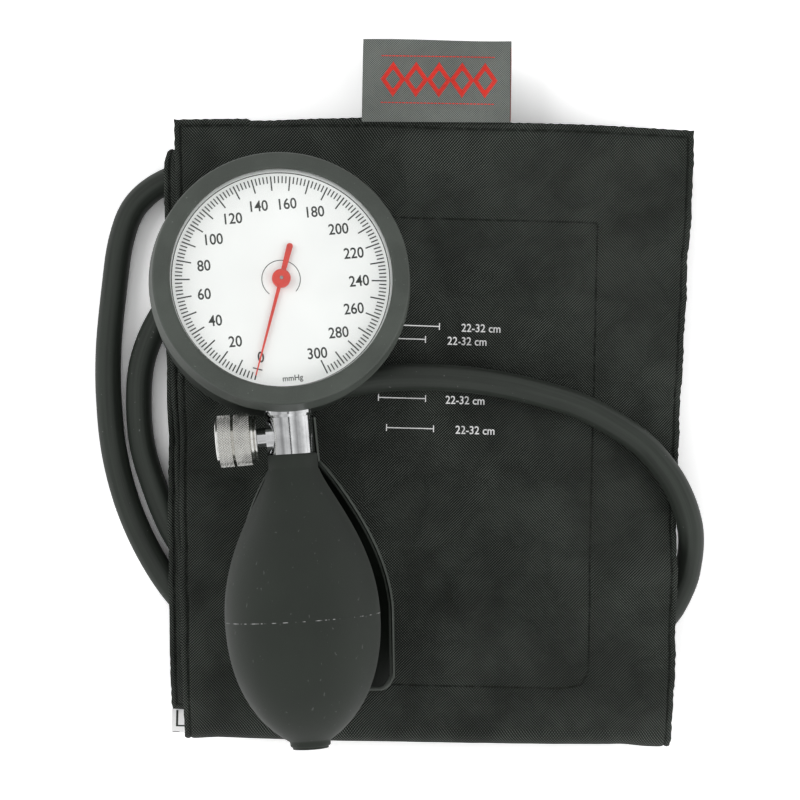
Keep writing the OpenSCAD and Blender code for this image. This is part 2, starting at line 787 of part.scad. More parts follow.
// Base plate with the rocker's two bearing lugs and the hairspring's stud
module plate_outline() {
    circle(r = plate_r);
}
module base_plate() {
    color("#cdb06a")
    at_gauge() difference() {
        union() {
            translate([0, 0, base_z]) {
                linear_extrude(plate_t) plate_outline();
                for (a = [60, 180, 300])
                    rotate(a) translate([plate_r - 4, -3.2, 0])
                        cube([post_r - plate_r + 6, 6.4, plate_t]);
            }
            for (x = [rocker_from, rocker_to - 1])
                translate([x, rocker_y - 1.4, base_top - eps])
                    cube([1, 2.8, rocker_z - base_top + 1.3]);
            translate([spring_out + strip_t + stud_r, 0, base_top - eps])
                cylinder(h = spring_z + spring_h - base_top, r = stud_r, $fn = 24);
        }
        translate([rocker_from - 1, rocker_y, rocker_z]) rotate([0, 90, 0])
            cylinder(h = rocker_to - rocker_from + 2, r = shaft_r + fit);
        translate([capsule_at[0], capsule_at[1], base_z - 1]) cylinder(h = 4, r = 3.6);
        translate([0, 0, base_z - 1]) cylinder(h = 4, r = arbor_r + fit);
        translate([sector_at[0], sector_at[1], base_z - 1]) cylinder(h = 4, r = shaft_r + fit);
        at_posts() translate([0, 0, base_z - 1]) cylinder(h = 4, r = screw_r + fit);
        at_pillars() translate([0, 0, base_z - 1]) cylinder(h = 4, r = rivet_r + fit);
    }
}

module top_plate() {
    color("#cdb06a")
    at_gauge() translate([0, 0, top_z]) difference() {
        linear_extrude(plate_t) plate_outline();
        translate([0, 0, -1]) {
            cylinder(h = 4, r = arbor_r + fit);
            translate(sector_at) cylinder(h = 4, r = shaft_r + fit);
            at_pillars() cylinder(h = 4, r = screw_r + fit);
            translate([capsule_at[0] + 10, -12]) cylinder(h = 4, r = 5);
        }
    }
}

rivet_r = 0.9;
module plate_pillars() {
    color("#cdb06a")
    at_gauge() at_pillars() difference() {
        union() {
            translate([0, 0, base_top]) cylinder(h = pillar_h, r = 1.8);
            translate([0, 0, base_z]) cylinder(h = plate_t + eps, r = rivet_r);
        }
        translate([0, 0, top_z - 4]) cylinder(h = 5, r = screw_r + fit);
    }
}

// Three screws hold the movement in the case, three more close the pillars
module screw(head_r, head_t, shank) {
    difference() {
        union() {
            cylinder(h = head_t, r = head_r);
            translate([0, 0, -shank]) cylinder(h = shank + eps, r = screw_r);
        }
        translate([-head_r - 1, -0.2, head_t - 0.35]) cube([2*head_r + 2, 0.4, 1]);
    }
}
module movement_screws() {
    color("#a9adb2")
    at_gauge() {
        at_posts() translate([0, 0, base_top]) screw(2, 1.1, plate_t + 5);
        at_pillars() translate([0, 0, top_top]) screw(1.8, 0.6, plate_t + 3.5);
    }
}

// Manifold bar on the case floor, with a block that takes the neck's socket end
bar_x = [-11, 8.5];
bar_y = [3.5 - bore_r, 3.5];
block_x = [-6.5, 4.7];
block_y = [1.4 - bore_r, 6.8 - bore_r];
channel_r = 0.9;
channel_x = -0.9;
channel_y = 2.5 - bore_r;
module air_manifold() {
    color("#b8954a")
    difference() {
        at_gauge() {
            translate([bar_x[0], bar_y[0], floor_z])
                cube([bar_x[1] - bar_x[0], bar_y[1] - bar_y[0], manifold_t]);
            translate([block_x[0], block_y[0], floor_z])
                cube([block_x[1] - block_x[0], block_y[1] - block_y[0], 5.2 - floor_z]);
        }
        at_neck() along_neck(socket_a, 0, socket_d/2 + fit);
        at_gauge() {
            z = floor_z + manifold_t/2;
            translate([channel_x, channel_y, z]) rotate([-90, 0, 0])
                cylinder(h = channel_r - channel_y, r = channel_r);
            translate([capsule_at[0], 0, z]) rotate([0, 90, 0])
                cylinder(h = channel_x - capsule_at[0], r = channel_r);
            translate([channel_x, elbow_g[1], z]) rotate([0, 90, 0])
                cylinder(h = elbow_g[0] - channel_x, r = channel_r);
            translate([capsule_at[0], capsule_at[1], z]) cylinder(h = 4, r = channel_r);
            translate([channel_x, channel_y + 2, z]) cylinder(h = 8, r = channel_r);
            translate([elbow_g[0], elbow_g[1], floor_z - 1]) cylinder(h = 2.6, r = pipe_r + fit);
        }
    }
}

// Elbow at the back of the case, which the hose is pushed onto
pipe_r = 3;
corner_ball = pipe_r + 0.25;
elbow_spigot = 10;
module hose_elbow() {
    color("#3a3a3c")
    difference() {
        union() {
            at_gauge() translate([elbow_g[0], elbow_g[1], 0]) {
                translate([0, 0, elbow_g[2]])
                    cylinder(h = floor_z + 1.4 - elbow_g[2], r = pipe_r);
                translate([0, 0, back_z - 1.4]) cylinder(h = 1.4, r = 5);
            }
            translate(elbow_at) sphere(r = corner_ball);
            translate(elbow_at) rotate([0, 90, elbow_turn]) {
                cylinder(h = elbow_reach, r = pipe_r);
                barbed(elbow_reach, elbow_spigot, 2.1);
            }
        }
        at_gauge() translate([elbow_g[0], elbow_g[1], elbow_g[2] - 0.7])
            cylinder(h = 14, r = 1.2);
        translate(elbow_at) rotate([0, 90, elbow_turn]) translate([0, 0, -0.4])
            cylinder(h = 20, r = 1.1);
    }
}
// Barbed spigot of three rings, from z = start
module barbed(start, length, r) {
    translate([0, 0, start]) cylinder(h = length, r = r);
    for (k = [0:2])
        translate([0, 0, start + length*(0.25 + 0.25*k)])
            cylinder(h = length*0.2, r1 = r + 0.3, r2 = r);
}

// Chromed neck: socket end in the case, body with its side bore, spigot in the bulb
socket_a = -6.5;
orifice_r = 0.8;
seat_x = 3.6;
chamber_r = 2.6;
module valve_body() {
    color("#d9dcdf")
    difference() {
        at_neck() {
            along_neck(socket_a, neck_a + eps, socket_d/2);
            along_neck(neck_a, neck_end, neck_d/2);
            along_neck(neck_end - eps, spigot_end, spigot_d/2);
            for (k = [0:2])
                along_neck(neck_end + 2 + 3*k, neck_end + 4.4 + 3*k, spigot_d/2 + 0.15, spigot_d/2);
            along_release(0, boss_face, 4.5);
        }
        at_neck() {
            along_neck(socket_a - 1, neck_end, air_bore/2);
            along_neck(neck_end - eps, spigot_end + 1, chamber_r + fit);
            along_release(0, seat_x + eps, orifice_r);
            along_release(seat_x, boss_face + 1, bonnet_r + fit);
        }
        at_spoon() translate([0, -screw_a, -neck_d/2 - 1]) cylinder(h = 3.6, r = 1.5 + fit);
    }
}

module neck_seal() {
    color("#1d1d1e")
    at_neck() difference() {
        along_neck(seal_a, neck_a, neck_d/2 - 0.2);
        along_neck(seal_a - 1, neck_a + 1, socket_d/2 + fit);
    }
}

// Bonnet of the release valve, with the stem and the ring that show beside the neck
bonnet_r = spindle_d/2 + 0.7;
module release_bonnet() {
    color("#c9ccd0")
    at_neck() difference() {
        union() {
            along_release(seat_x + seat, boss_face + eps, bonnet_r);
            along_release(boss_face, stem_end + eps, stem_d/2 + 0.15);
            along_release(stem_end, ring_end, stem_d/2 + 1.25);
        }
        along_release(seat_x - 1, ring_end + 1, spindle_d/2 + fit);
    }
}
needle_r = spindle_d/2 - 0.45;
needle_end = seat_x + 2.6;
module release_needle() {
    color("#c9ccd0")
    at_neck() {
        along_release(seat_x - 0.6, seat_x + 0.9, 0.2, needle_r);
        along_release(seat_x + 0.9 - eps, needle_end, needle_r);
    }
}
spindle_from = needle_end + fit;
module release_spindle() {
    color("#c9ccd0")
    at_neck() along_release(spindle_from, knob_to - 1.4, spindle_d/2);
}

// Knurled knob: two toothed bands with a groove between, and a polished inner end
band_gap = 0.6;
rim_len = 0.5;
inner_len = 1.6;
band_len = (knob_len - rim_len - inner_len - band_gap)/2;
tooth_h = 0.3;
module toothed(h, r) {
    linear_extrude(h) polygon([
        for (i = [0:2*knob_teeth - 1])
            (r - (i % 2)*tooth_h)*[cos(180*i/knob_teeth), sin(180*i/knob_teeth)]
    ]);
}
module release_knob() {
    r = knob_d/2;
    // The chamfered ends reach a little into the toothed bands
    low = inner_len + 0.1;
    high = knob_len - rim_len - 0.1;
    color("#d9dcdf")
    at_neck() at_release(knob_from) difference() {
        union() {
            rotate_extrude() polygon([
                [0, 0], [r - 0.9, 0], [r - 0.5, low], [r - 0.7, low], [r - 0.7, high],
                [r - 0.5, high], [r - 0.9, knob_len], [0, knob_len]
            ]);
            translate([0, 0, inner_len]) toothed(band_len, r);
            translate([0, 0, inner_len + band_len + band_gap]) toothed(band_len, r);
        }
        translate([0, 0, -1]) cylinder(h = knob_len - 0.4, r = spindle_d/2);
        translate([0, 0, knob_len - 0.6]) cylinder(h = 1, r = r - 2);
    }
}

// Check valve in the spigot: the seat on the bulb's side, a loose disc, and its cage
check_a = neck_end + spigot_len - 3;
disc_t = 0.8;
disc_travel = 0.8;
cage_gap = seat;
module check_seat() {
    color("#c9a24e")
    at_neck() difference() {
        along_neck(check_a, check_a + 2, chamber_r);
        along_neck(check_a - 1, check_a + 3, 1.1);
    }
}
module check_disc() {
    color("#202022")
    at_neck() along_neck(check_a - seat - disc_t, check_a - seat, chamber_r - 0.4);
}
module check_cage() {
    color("#c9a24e")
    at_neck() difference() {
        along_neck(cage_a - 1.6, cage_a, chamber_r);
        for (k = [0:3])
            translate([0, -cage_a + 3, 0]) rotate([90, 90*k, 0]) translate([1.35, 0, 0])
                cylinder(h = 8, r = 0.6, $fn = 24);
    }
}
cage_a = check_a - seat - disc_t - disc_travel - cage_gap;

// Rubber bulb
equator = bulb_len*0.559;
collar_len = 4.5;
swell = concat(
    bezier([collar_r + 0.4, collar_len], [collar_r + 3.05, 12], [bulb_r, 25], [bulb_r, equator], 12),
    bezier([bulb_r, equator], [bulb_r, equator + 14.5], [16, bulb_len - 8.1], [5.5, bulb_len - 1.4], 12)
);
function hollow(wall, least) = [for (p = swell) if (p[0] - wall > least) [p[0] - wall, p[1]]];
tail_r = 5.4;
module bulb() {
    cavity = hollow(bulb_wall, spigot_d/2 + 0.2);
    color("#232425")
    at_bulb() difference() {
        rotate_extrude($fn = 96) polygon(concat(
            [[0, 0], [collar_r, 0]], swell, [[tail_r, bulb_len - 1.3], [tail_r, bulb_len], [0, bulb_len]]
        ));
        rotate_extrude($fn = 96) polygon(concat(
            [[0, -1], [spigot_d/2, -1], [spigot_d/2, cavity[0][1]]], cavity,
            [[intake_r, cavity[len(cavity) - 1][1] + 1], [intake_r, bulb_len + 1], [0, bulb_len + 1]]
        ));
    }
}

// Inlet valve in the bulb's end
inlet_z = bulb_len - 5.2;
inlet_bore = intake_r - 1.2;
module intake_body() {
    color("#2b2c2d")
    at_bulb() difference() {
        union() {
            translate([0, 0, bulb_len - 12.5]) cylinder(h = 12.5 + eps, r = intake_r);
            translate([0, 0, bulb_len]) cylinder(h = 0.6, r = intake_r + 1.2);
        }
        translate([0, 0, inlet_z + 1.4]) cylinder(h = 10, r = inlet_bore);
        translate([0, 0, inlet_z - 1]) cylinder(h = 4, r = 1.1);
        translate([0, 0, inlet_z - 2.5]) cylinder(h = 2.5, r = inlet_bore);
        for (k = [0:3])
            rotate(90*k) translate([1.35, 0, bulb_len - 14]) cylinder(h = 8, r = 0.6, $fn = 24);
    }
}
module intake_disc() {
    color("#202022")
    at_bulb() translate([0, 0, inlet_z - seat - disc_t]) cylinder(h = disc_t, r = inlet_bore - 0.3);
}
module intake_screen() {
    color("#a9adb2")
    at_bulb() translate([0, 0, bulb_len - 0.8]) difference() {
        cylinder(h = 0.4, r = inlet_bore);
        for (k = [0:5])
            rotate(60*k) translate([1.4, 0, -1]) cylinder(h = 3, r = 0.5, $fn = 16);
        translate([0, 0, -1]) cylinder(h = 3, r = 0.5, $fn = 16);
    }
}

// Spoon under the bulb: a plate of revolution about a line above the neck, cut to its outline
spoon_axis = 4;
screw_a = 3.6;
spoon_neck = neck_d/2 + seat + spoon_t;
neck_half = 6;
spoon_end = spoon_len + 3.5;
blend_from = neck_a + 4.9;
blend_len = 45.9;
corner_r = 5.6;
function spoon_line(off) = [
    for (a = steps(neck_a + 0.4, spoon_end + 1, 24))
        [mix(spoon_neck, spoon_depth, smooth((a - blend_from)/blend_len)) + spoon_axis - off, a]
];
module spoon_outline() {
    side = concat(
        [[neck_a + 0.6, neck_half]],
        bezier([13.8, neck_half], [20.8, 12], [38.8, spoon_half], [55.3, spoon_half], 12),
        arc([spoon_end - corner_r, spoon_half - 6.9], corner_r, 80, 0, 6)
    );
    polygon(concat(
        [for (p = side) [p[1], -p[0]]],
        [for (i = [len(side) - 1:-1:0]) [-side[i][1], -side[i][0]]]
    ));
}
module spoon() {
    color("#2a2b2c")
    at_spoon() difference() {
        intersection() {
            translate([0, 0, spoon_axis]) rotate([90, 0, 0]) rotate(-180) rotate_extrude(angle = 180, $fn = 96)
                polygon(concat(spoon_line(0), [for (i = [24:-1:0]) spoon_line(spoon_t)[i]]));
            translate([0, 0, -spoon_depth - 2]) linear_extrude(spoon_depth + 2) spoon_outline();
        }
        translate([0, -screw_a, -spoon_neck - 1]) cylinder(h = 4, r = 1.5 + fit);
    }
}
module spoon_screw() {
    color("#a9adb2")
    at_spoon() translate([0, -screw_a, 0]) difference() {
        union() {
            translate([0, 0, -spoon_neck - fit - 1.6]) cylinder(h = 1.6, r = 2.3);
            translate([0, 0, -spoon_neck - fit - eps])
                cylinder(h = spoon_neck - neck_d/2 + 2.3, r = 1.5);
        }
        translate([-4, -0.4, -spoon_neck - 2]) cube([8, 0.8, 1]);
    }
}

module hose() {
    color("#2c2d2e") tube(hose_route, hose_d/2, hose_sides);
}

// Port of the air bladder: flange under the cuff and a spigot for the hose
port_flange = 7;
module bladder_port() {
    top = hose_lift - 2*clear;
    color("#3a3a3c")
    translate([port_at[0], port_at[1], 0]) difference() {
        union() {
            translate([0, 0, top - 0.9]) cylinder(h = 0.9, r = port_flange);
            translate([0, 0, port_at[2]]) cylinder(h = hose_lift + clear - port_at[2], r = pipe_r);
            translate([0, 0, port_at[2]]) sphere(r = corner_ball);
            translate([0, 0, port_at[2]]) rotate([0, -90, 0]) {
                cylinder(h = port_reach, r = pipe_r);
                barbed(port_reach, elbow_spigot, 2.1);
            }
        }
        translate([0, 0, port_at[2] - 0.7]) cylinder(h = 20, r = 1.2);
        translate([0.4, 0, port_at[2]]) rotate([0, -90, 0]) cylinder(h = 20, r = 1.1);
    }
}

// Cuff
module cuff_outer_ply() {
    color("#222325") ply(1);
}
module cuff_inner_ply() {
    color("#262729") difference() {
        ply(-1);
        translate([port_at[0], port_at[1], 5]) cylinder(h = 5, r = pipe_r + clear);
    }
}
module bladder() {
    color("#3b3d40")
    cloth(mid_first + 6, low_first + patch_rows + 1, 2, last_col - 2, -bladder_t/2, bladder_t/2);
}
module hook_patch() {
    color("#1d1e1f")
    cloth(patch_row, patch_row + patch_rows, patch_col, patch_col + patch_cols,
          -ply_half - fit - patch_t, -ply_half - fit);
}
module loop_patch() {
    color("#1d1e1f")
    cloth(low_first + 1, low_first + patch_rows, patch_col, patch_col + patch_cols,
          ply_half + fit, ply_half + fit + patch_t);
}

// Folded woven tag, sewn into the upper hem
tag_t = 1;
tag_left = -12;
tag_z = 14.5;
tag_drop = 2.6;
tag_gap = 0.1;
function tag_line(off) = [
    for (s = steps(0, 1, 8)) [s*tag_len, tag_z - tag_drop*s*s + off]
];
module woven_label() {
    line = tag_line(0);
    back = tag_line(tag_t);
    corner = cuff_to_table(tag_left, top_edge + top_bow + tag_gap);
    color("#77787a")
    translate([corner[0], corner[1], 0]) rotate([0, 0, cuff_turn]) rotate([90, 0, 90]) linear_extrude(tag_w)
            polygon(concat(line, [for (i = [len(back) - 1:-1:0]) back[i]]));
}

// Care label at the cuff's lower free edge
care_t = 0.4;
care_len = 6.2;
module care_label() {
    corner = cuff_to_table(along(left_low, low_edge) + 1, low_edge);
    z = sheet_z(0, corner) - ply_t - fit - care_t;
    color("#f2f2ee")
    translate([corner[0], corner[1] - care_len - tag_gap, z]) rotate(cuff_turn)
        cube([care_w, care_len, care_t]);
}

gauge_case();
bezel_ring();
lens();
dial_ring();
dial_plate();
pointer();
pinion_arbor();
hairspring();
sector_gear();
rocker();
push_pin();
capsule_lower();
capsule_upper();
base_plate();
top_plate();
plate_pillars();
movement_screws();
air_manifold();
hose_elbow();
valve_body();
neck_seal();
release_bonnet();
release_needle();
release_spindle();
release_knob();
check_seat();
check_disc();
check_cage();
bulb();
intake_body();
intake_disc();
intake_screen();
spoon();
spoon_screw();
hose();
bladder_port();
bladder();
cuff_outer_ply();
cuff_inner_ply();
loop_patch();
hook_patch();
woven_label();
care_label();
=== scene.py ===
import json
from math import cos, degrees, exp, pi, radians, sin, sqrt, tan

import bmesh
import bpy
import numpy as np
from mathutils import Euler, Matrix, Vector


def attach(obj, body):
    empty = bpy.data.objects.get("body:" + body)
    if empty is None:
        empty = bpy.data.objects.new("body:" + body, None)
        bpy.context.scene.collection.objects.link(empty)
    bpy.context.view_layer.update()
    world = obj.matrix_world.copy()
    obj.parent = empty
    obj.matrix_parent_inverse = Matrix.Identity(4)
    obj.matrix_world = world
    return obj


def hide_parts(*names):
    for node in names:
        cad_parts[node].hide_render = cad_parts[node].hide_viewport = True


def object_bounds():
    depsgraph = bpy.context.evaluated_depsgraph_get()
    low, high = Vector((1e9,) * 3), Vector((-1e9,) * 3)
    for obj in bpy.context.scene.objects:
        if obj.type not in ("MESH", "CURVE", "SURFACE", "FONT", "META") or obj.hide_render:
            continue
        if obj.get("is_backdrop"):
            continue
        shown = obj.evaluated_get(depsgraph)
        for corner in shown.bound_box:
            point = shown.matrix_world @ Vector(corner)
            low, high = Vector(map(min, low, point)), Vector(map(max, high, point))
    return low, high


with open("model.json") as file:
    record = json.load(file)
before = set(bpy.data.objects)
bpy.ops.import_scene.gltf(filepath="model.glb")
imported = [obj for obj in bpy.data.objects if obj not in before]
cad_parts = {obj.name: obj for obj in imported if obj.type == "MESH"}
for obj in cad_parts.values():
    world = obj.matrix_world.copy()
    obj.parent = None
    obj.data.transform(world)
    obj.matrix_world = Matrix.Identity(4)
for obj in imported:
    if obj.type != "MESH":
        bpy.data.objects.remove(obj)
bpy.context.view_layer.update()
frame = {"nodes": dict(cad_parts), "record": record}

# Everything below is in millimetres until add_mesh() turns it into metres.
MM = 0.001


def place(at, turn, inside=Matrix()):
    angles = Euler([radians(a) for a in turn])
    return inside @ Matrix.LocRotScale(Vector(at), angles, None)


# The same places as in the CAD source
GAUGE = place((-39.9, 28.3, 40.3), (-9.06, 6.84, 5.2))
NECK = place((-37, -5, 45.7), (0, 0, 5))
RELEASE = place((0, -6.3, 0), (0, -90, 0), NECK)
BULB = place((0, -11.2, 0), (89, 0, -1.33), NECK)
SPOON = place((0, 0, 0), (0, -5, 0), NECK)

# ---- camera and lamps

IMAGE, FOCAL = 800, 2680    # the photograph's side and its focal length, both in its pixels
SENSOR = 36
CAMERA_AT = (-7.3, -1.8, 760)


def show(name, data):
    """A new object in the scene."""
    made = bpy.data.objects.new(name, data)
    bpy.context.scene.collection.objects.link(made)
    return made


camera_data = bpy.data.cameras.new("camera")
camera_data.sensor_width = SENSOR
camera_data.lens = SENSOR * FOCAL / IMAGE
camera_data.clip_start = 0.05
camera = show("camera", camera_data)
camera.location = Vector(CAMERA_AT) * MM
bpy.context.scene.camera = camera

for name, at, power in (("left_light", (-0.85, 0.35, 0.66), 6.0),
                        ("right_light", (0.9, -0.2, 0.5), 4.2),
                        ("front_light", (0.1, -0.9, 0.6), 2.6)):
    data = bpy.data.lights.new(name, "AREA")
    data.shape = "DISK"
    data.size = 0.9
    data.energy = power
    lamp = show(name, data)
    lamp.location = at
    lamp.rotation_euler = (-Vector(at)).to_track_quat("-Z", "Y").to_euler()
    lamp.visible_glossy = False     # gloss shows the world's panels in their place

# ---- materials

LOOKS = {}


class Nodes:
    """The node helpers that the materials and the world share."""

    def __init__(self, tree):
        self.tree = tree

    def put(self, socket, value):
        if isinstance(value, bpy.types.NodeSocket):
            self.tree.links.new(value, socket)
        elif hasattr(value, "__len__") and len(value) == 3 and socket.type == "RGBA":
            socket.default_value = (*value, 1)
        else:
            socket.default_value = value

    def node(self, kind, inputs, out=0, **props):
        made = self.tree.nodes.new("ShaderNode" + kind)
        for key, value in props.items():
            setattr(made, key, value)
        for key, value in inputs.items():
            self.put(made.inputs[key], value)
        return made.outputs[out]

    def rays(self, *kinds):
        made = self.node("LightPath", {}).node
        return [made.outputs[f"Is {kind} Ray"] for kind in kinds]

    def mm(self):
        return self.stretch(self.node("TexCoord", {}, "Object"), (1000, 1000, 1000))

    def attribute(self, name="local"):
        return self.node("Attribute", {}, "Vector", attribute_name=name)

    def stretch(self, vector, by):
        return self.node("VectorMath", {0: vector, 1: by}, operation="MULTIPLY")

    def split(self, vector):
        return tuple(self.node("SeparateXYZ", {0: vector}).node.outputs)

    def noise(self, vector, scale, detail=3.0, rough=0.55):
        return self.node("TexNoise", {"Vector": vector, "Scale": scale, "Detail": detail,
                                      "Roughness": rough})

    def math(self, operation, a, b=0.0, c=0.0):
        return self.node("Math", {0: a, 1: b, 2: c}, operation=operation)

    def window(self, value, low, high, to_low=0.0, to_high=1.0):
        return self.node("MapRange", {0: value, 1: low, 2: high, 3: to_low, 4: to_high},
                         interpolation_type="SMOOTHSTEP")

    def mix(self, share, a, b):
        return self.node("Mix", {0: share, 6: a, 7: b}, 2, data_type="RGBA")

    def blend(self, share, a, b):
        return self.node("Mix", {0: share, 2: a, 3: b}, data_type="FLOAT")

    def bump(self, height, distance):
        return self.node("Bump", {"Strength": 1.0, "Distance": distance * MM, "Height": height})


class Shader(Nodes):
    """A Principled material, which LOOKS keeps under its name."""

    def __init__(self, name, **values):
        material = LOOKS[name] = bpy.data.materials.new(name)
        material.use_nodes = True
        super().__init__(material.node_tree)
        self.set(**values)

    def set(self, **values):
        for key, value in values.items():
            self.put(self.tree.nodes["Principled BSDF"].inputs[key.replace("_", " ")], value)

    def surface(self, closure):
        self.put(self.tree.nodes["Material Output"].inputs["Surface"], closure)


def grey(level):
    """A grey from its level in the picture, 0 to 255; the dark ones are faintly green."""
    green = 3 if level < 130 else 0
    return linear(level - green / 2, level + green, level - green / 2)


def linear(*levels):
    return tuple(((v / 255 + 0.055) / 1.055) ** 2.4 if v > 10 else v / 255 / 12.92 for v in levels)


def scaled(colour, by):
    return tuple(min(1.0, v * by) for v in colour)


def moulded(name, colour, rough, grain=2.2, depth=0.02, dust=0.0):
    """Moulded plastic or rubber: fine grain, cloudy gloss and a little dust."""
    s = Shader(name, Specular_IOR_Level=0.3)
    at = s.mm()
    cloud = s.noise(at, 0.07, 4)
    fine = s.noise(at, grain, 3, 0.7)
    base = s.mix(s.window(cloud, 0.3, 0.7), scaled(colour, 0.86), scaled(colour, 1.14))
    base = s.mix(s.window(fine, 0.45, 0.8, 0, 0.35), base, scaled(colour, 1.5))
    if dust:
        speck = s.window(s.noise(at, 1.1, 2, 0.4), 0.735, 0.76)
        base = s.mix(s.math("MULTIPLY", speck, dust), base, scaled(colour, 5))
    s.set(Base_Color=base, Roughness=s.window(cloud, 0.3, 0.7, rough - 0.05, rough + 0.06))
    s.set(Normal=s.bump(fine, depth))


def metal(name, colour, rough, turned=0.0, scratch=0.02):
    """Turned or drawn metal: fine lines, cloudy tarnish and scratches."""
    s = Shader(name, Metallic=1.0)
    at = s.mm()
    cloud = s.noise(at, 0.25, 4)
    lines = s.noise(s.stretch(at, (6.0, 0.4, 6.0)), 1.6, 4, 0.7)
    base = s.mix(s.window(cloud, 0.3, 0.75), scaled(colour, 0.82), scaled(colour, 1.08))
    base = s.mix(s.window(lines, 0.35, 0.75, 0, 0.3 + turned), base, scaled(colour, 0.7))
    s.set(Base_Color=base, Roughness=s.window(lines, 0.3, 0.7, rough * 0.7, rough * 1.3))
    s.set(Normal=s.bump(lines, scratch))
    return s


WEAVE = 0.78        # pitch of the cuff's weave
HEM_LINE = 1.7      # from the cloth's edge to the hem's stitches
PARTING_Z = 43.5    # the bulb's parting line, along its axis


def woven(name, dark, light, pitch, rough, depth, clouds, gloss=0.25, crisp=-0.75, sewn=False):
    """Plain weave: warp and weft tops as two crossing families of ridges on the cloth's axes."""
    s = Shader(name, Specular_IOR_Level=gloss)
    at = s.attribute()
    wander = s.noise(at, 0.9, 2)
    slow = s.noise(at, 0.07, 2, 0.5)
    u, v, _ = s.split(at)
    u = s.math("ADD", u, s.math("MULTIPLY", wander, 0.16))
    turn = 2 * pi / pitch
    first = s.math("COSINE", s.math("MULTIPLY", s.math("ADD", u, v), turn))
    second = s.math("COSINE", s.math("MULTIPLY", s.math("SUBTRACT", u, v), turn))
    ridge = s.blend(s.window(slow, 0.42, 0.58, 0.28, 0.72), first, second)
    height = s.window(ridge, crisp, 0.85)
    lint = s.window(s.noise(at, 0.8, 3, 0.75), 0.72, 0.76, 0, 0.5)
    patchy = s.noise(at, 0.05, 5, 0.65)
    shade = s.window(patchy, 0.3, 0.7, 1 - clouds, 1 + clouds)
    # Colour follows the ridges: the weave's pattern, with painted sheen on the thread tops and
    # painted shade in the gaps between them
    base = s.mix(height, dark, light)
    base = s.node("VectorMath", {0: base, "Scale": shade}, operation="SCALE")
    base = s.mix(s.math("MULTIPLY", lint, 0.4), base, grey(120))
    if sewn:
        # Painted shade along the sunk seam and the hem stitch lines, broken up by noise; the bump
        # drops there as well
        seam, hem, _ = s.split(s.attribute("relief"))
        shade_breaks = s.window(s.noise(at, 0.55, 2), 0.35, 0.6, 0.35, 1)
        seam = s.window(s.math("ABSOLUTE", seam), 0.12, 0.42, 1, 0)
        hem = s.window(s.math("ABSOLUTE", s.math("SUBTRACT", hem, HEM_LINE)), 0.1, 0.5, 0.9, 0)
        seam_hem_shade = s.math("MULTIPLY", s.math("MAXIMUM", seam, hem), shade_breaks)
        base = s.mix(s.math("MULTIPLY", seam_hem_shade, 0.8), base, grey(6))
        height = s.math("SUBTRACT", height, seam_hem_shade)
    s.set(Base_Color=base, Roughness=s.window(height, 0, 1, rough + 0.15, rough - 0.05))
    s.set(Normal=s.bump(height, depth))


def dial_paint(name, colour, rough):
    s = Shader(name)
    at = s.mm()
    fine = s.noise(at, 3.0, 3)
    cloud = s.noise(at, 0.08, 3)
    s.set(Base_Color=s.mix(s.window(cloud, 0.3, 0.7, 0, 1), scaled(colour, 0.965), colour))
    s.set(Roughness=s.window(fine, 0.3, 0.7, rough - 0.04, rough + 0.05))
    s.set(Normal=s.bump(fine, 0.004))


def clear_front():
    """Thin polished plastic: what is behind it shows, with the room's reflection on top."""
    s = Shader("lens_clear")
    index = 1.42
    smear = s.noise(s.mm(), 0.12, 4)
    gloss = s.node("BsdfGlossy", {"Color": (1, 1, 1),
                                  "Roughness": s.window(smear, 0.35, 0.75, 0.02, 0.09)})
    through = s.node("BsdfTransparent", {"Color": (0.985, 0.99, 0.988)})
    behind = s.node("NewGeometry", {}, "Backfacing")
    lit = s.math("MAXIMUM", *s.rays("Shadow", "Diffuse"))
    share = s.node("Fresnel", {"IOR": s.blend(behind, index, 1 / index)})
    share = s.math("MULTIPLY", share, s.math("SUBTRACT", 1.0, lit))
    s.surface(s.node("MixShader", {0: share, 1: through, 2: gloss}))


def bulb_rubber():
    """Matt moulded rubber, with the dusty parting line and the small scuffs of the photograph."""
    colour = grey(41)
    s = Shader("bulb_rubber", Specular_IOR_Level=0.3, Sheen_Weight=0.06, Sheen_Roughness=0.5)
    at = s.attribute()
    z = s.split(at)[2]
    cloud = s.noise(at, 0.06, 4)
    fine = s.noise(at, 2.6, 3, 0.7)
    base = s.mix(s.window(cloud, 0.3, 0.7), scaled(colour, 0.88), scaled(colour, 1.12))
    base = s.mix(s.window(fine, 0.5, 0.8, 0, 0.25), base, scaled(colour, 1.5))
    speck = s.window(s.noise(at, 0.62, 3, 0.55), 0.70, 0.725)
    scuff = s.window(s.noise(s.stretch(at, (1.0, 1.0, 0.35)), 0.9, 2, 0.5), 0.72, 0.74)
    marks = s.math("MULTIPLY", s.math("MAXIMUM", speck, scuff), 0.13)
    base = s.mix(marks, base, grey(150))
    off_line = s.math("ABSOLUTE", s.math("SUBTRACT", z, PARTING_Z))
    on_line = s.window(off_line, 0.05, 0.17, 1, 0)
    dashes = s.window(s.noise(s.stretch(at, (1, 1, 0.1)), 0.5, 3, 0.7), 0.5, 0.6)
    base = s.mix(s.math("MULTIPLY", s.math("MULTIPLY", on_line, dashes), 0.55), base, grey(185))
    s.set(Base_Color=base, Roughness=s.window(cloud, 0.3, 0.7, 0.58, 0.7))
    s.set(Normal=s.bump(fine, 0.02))


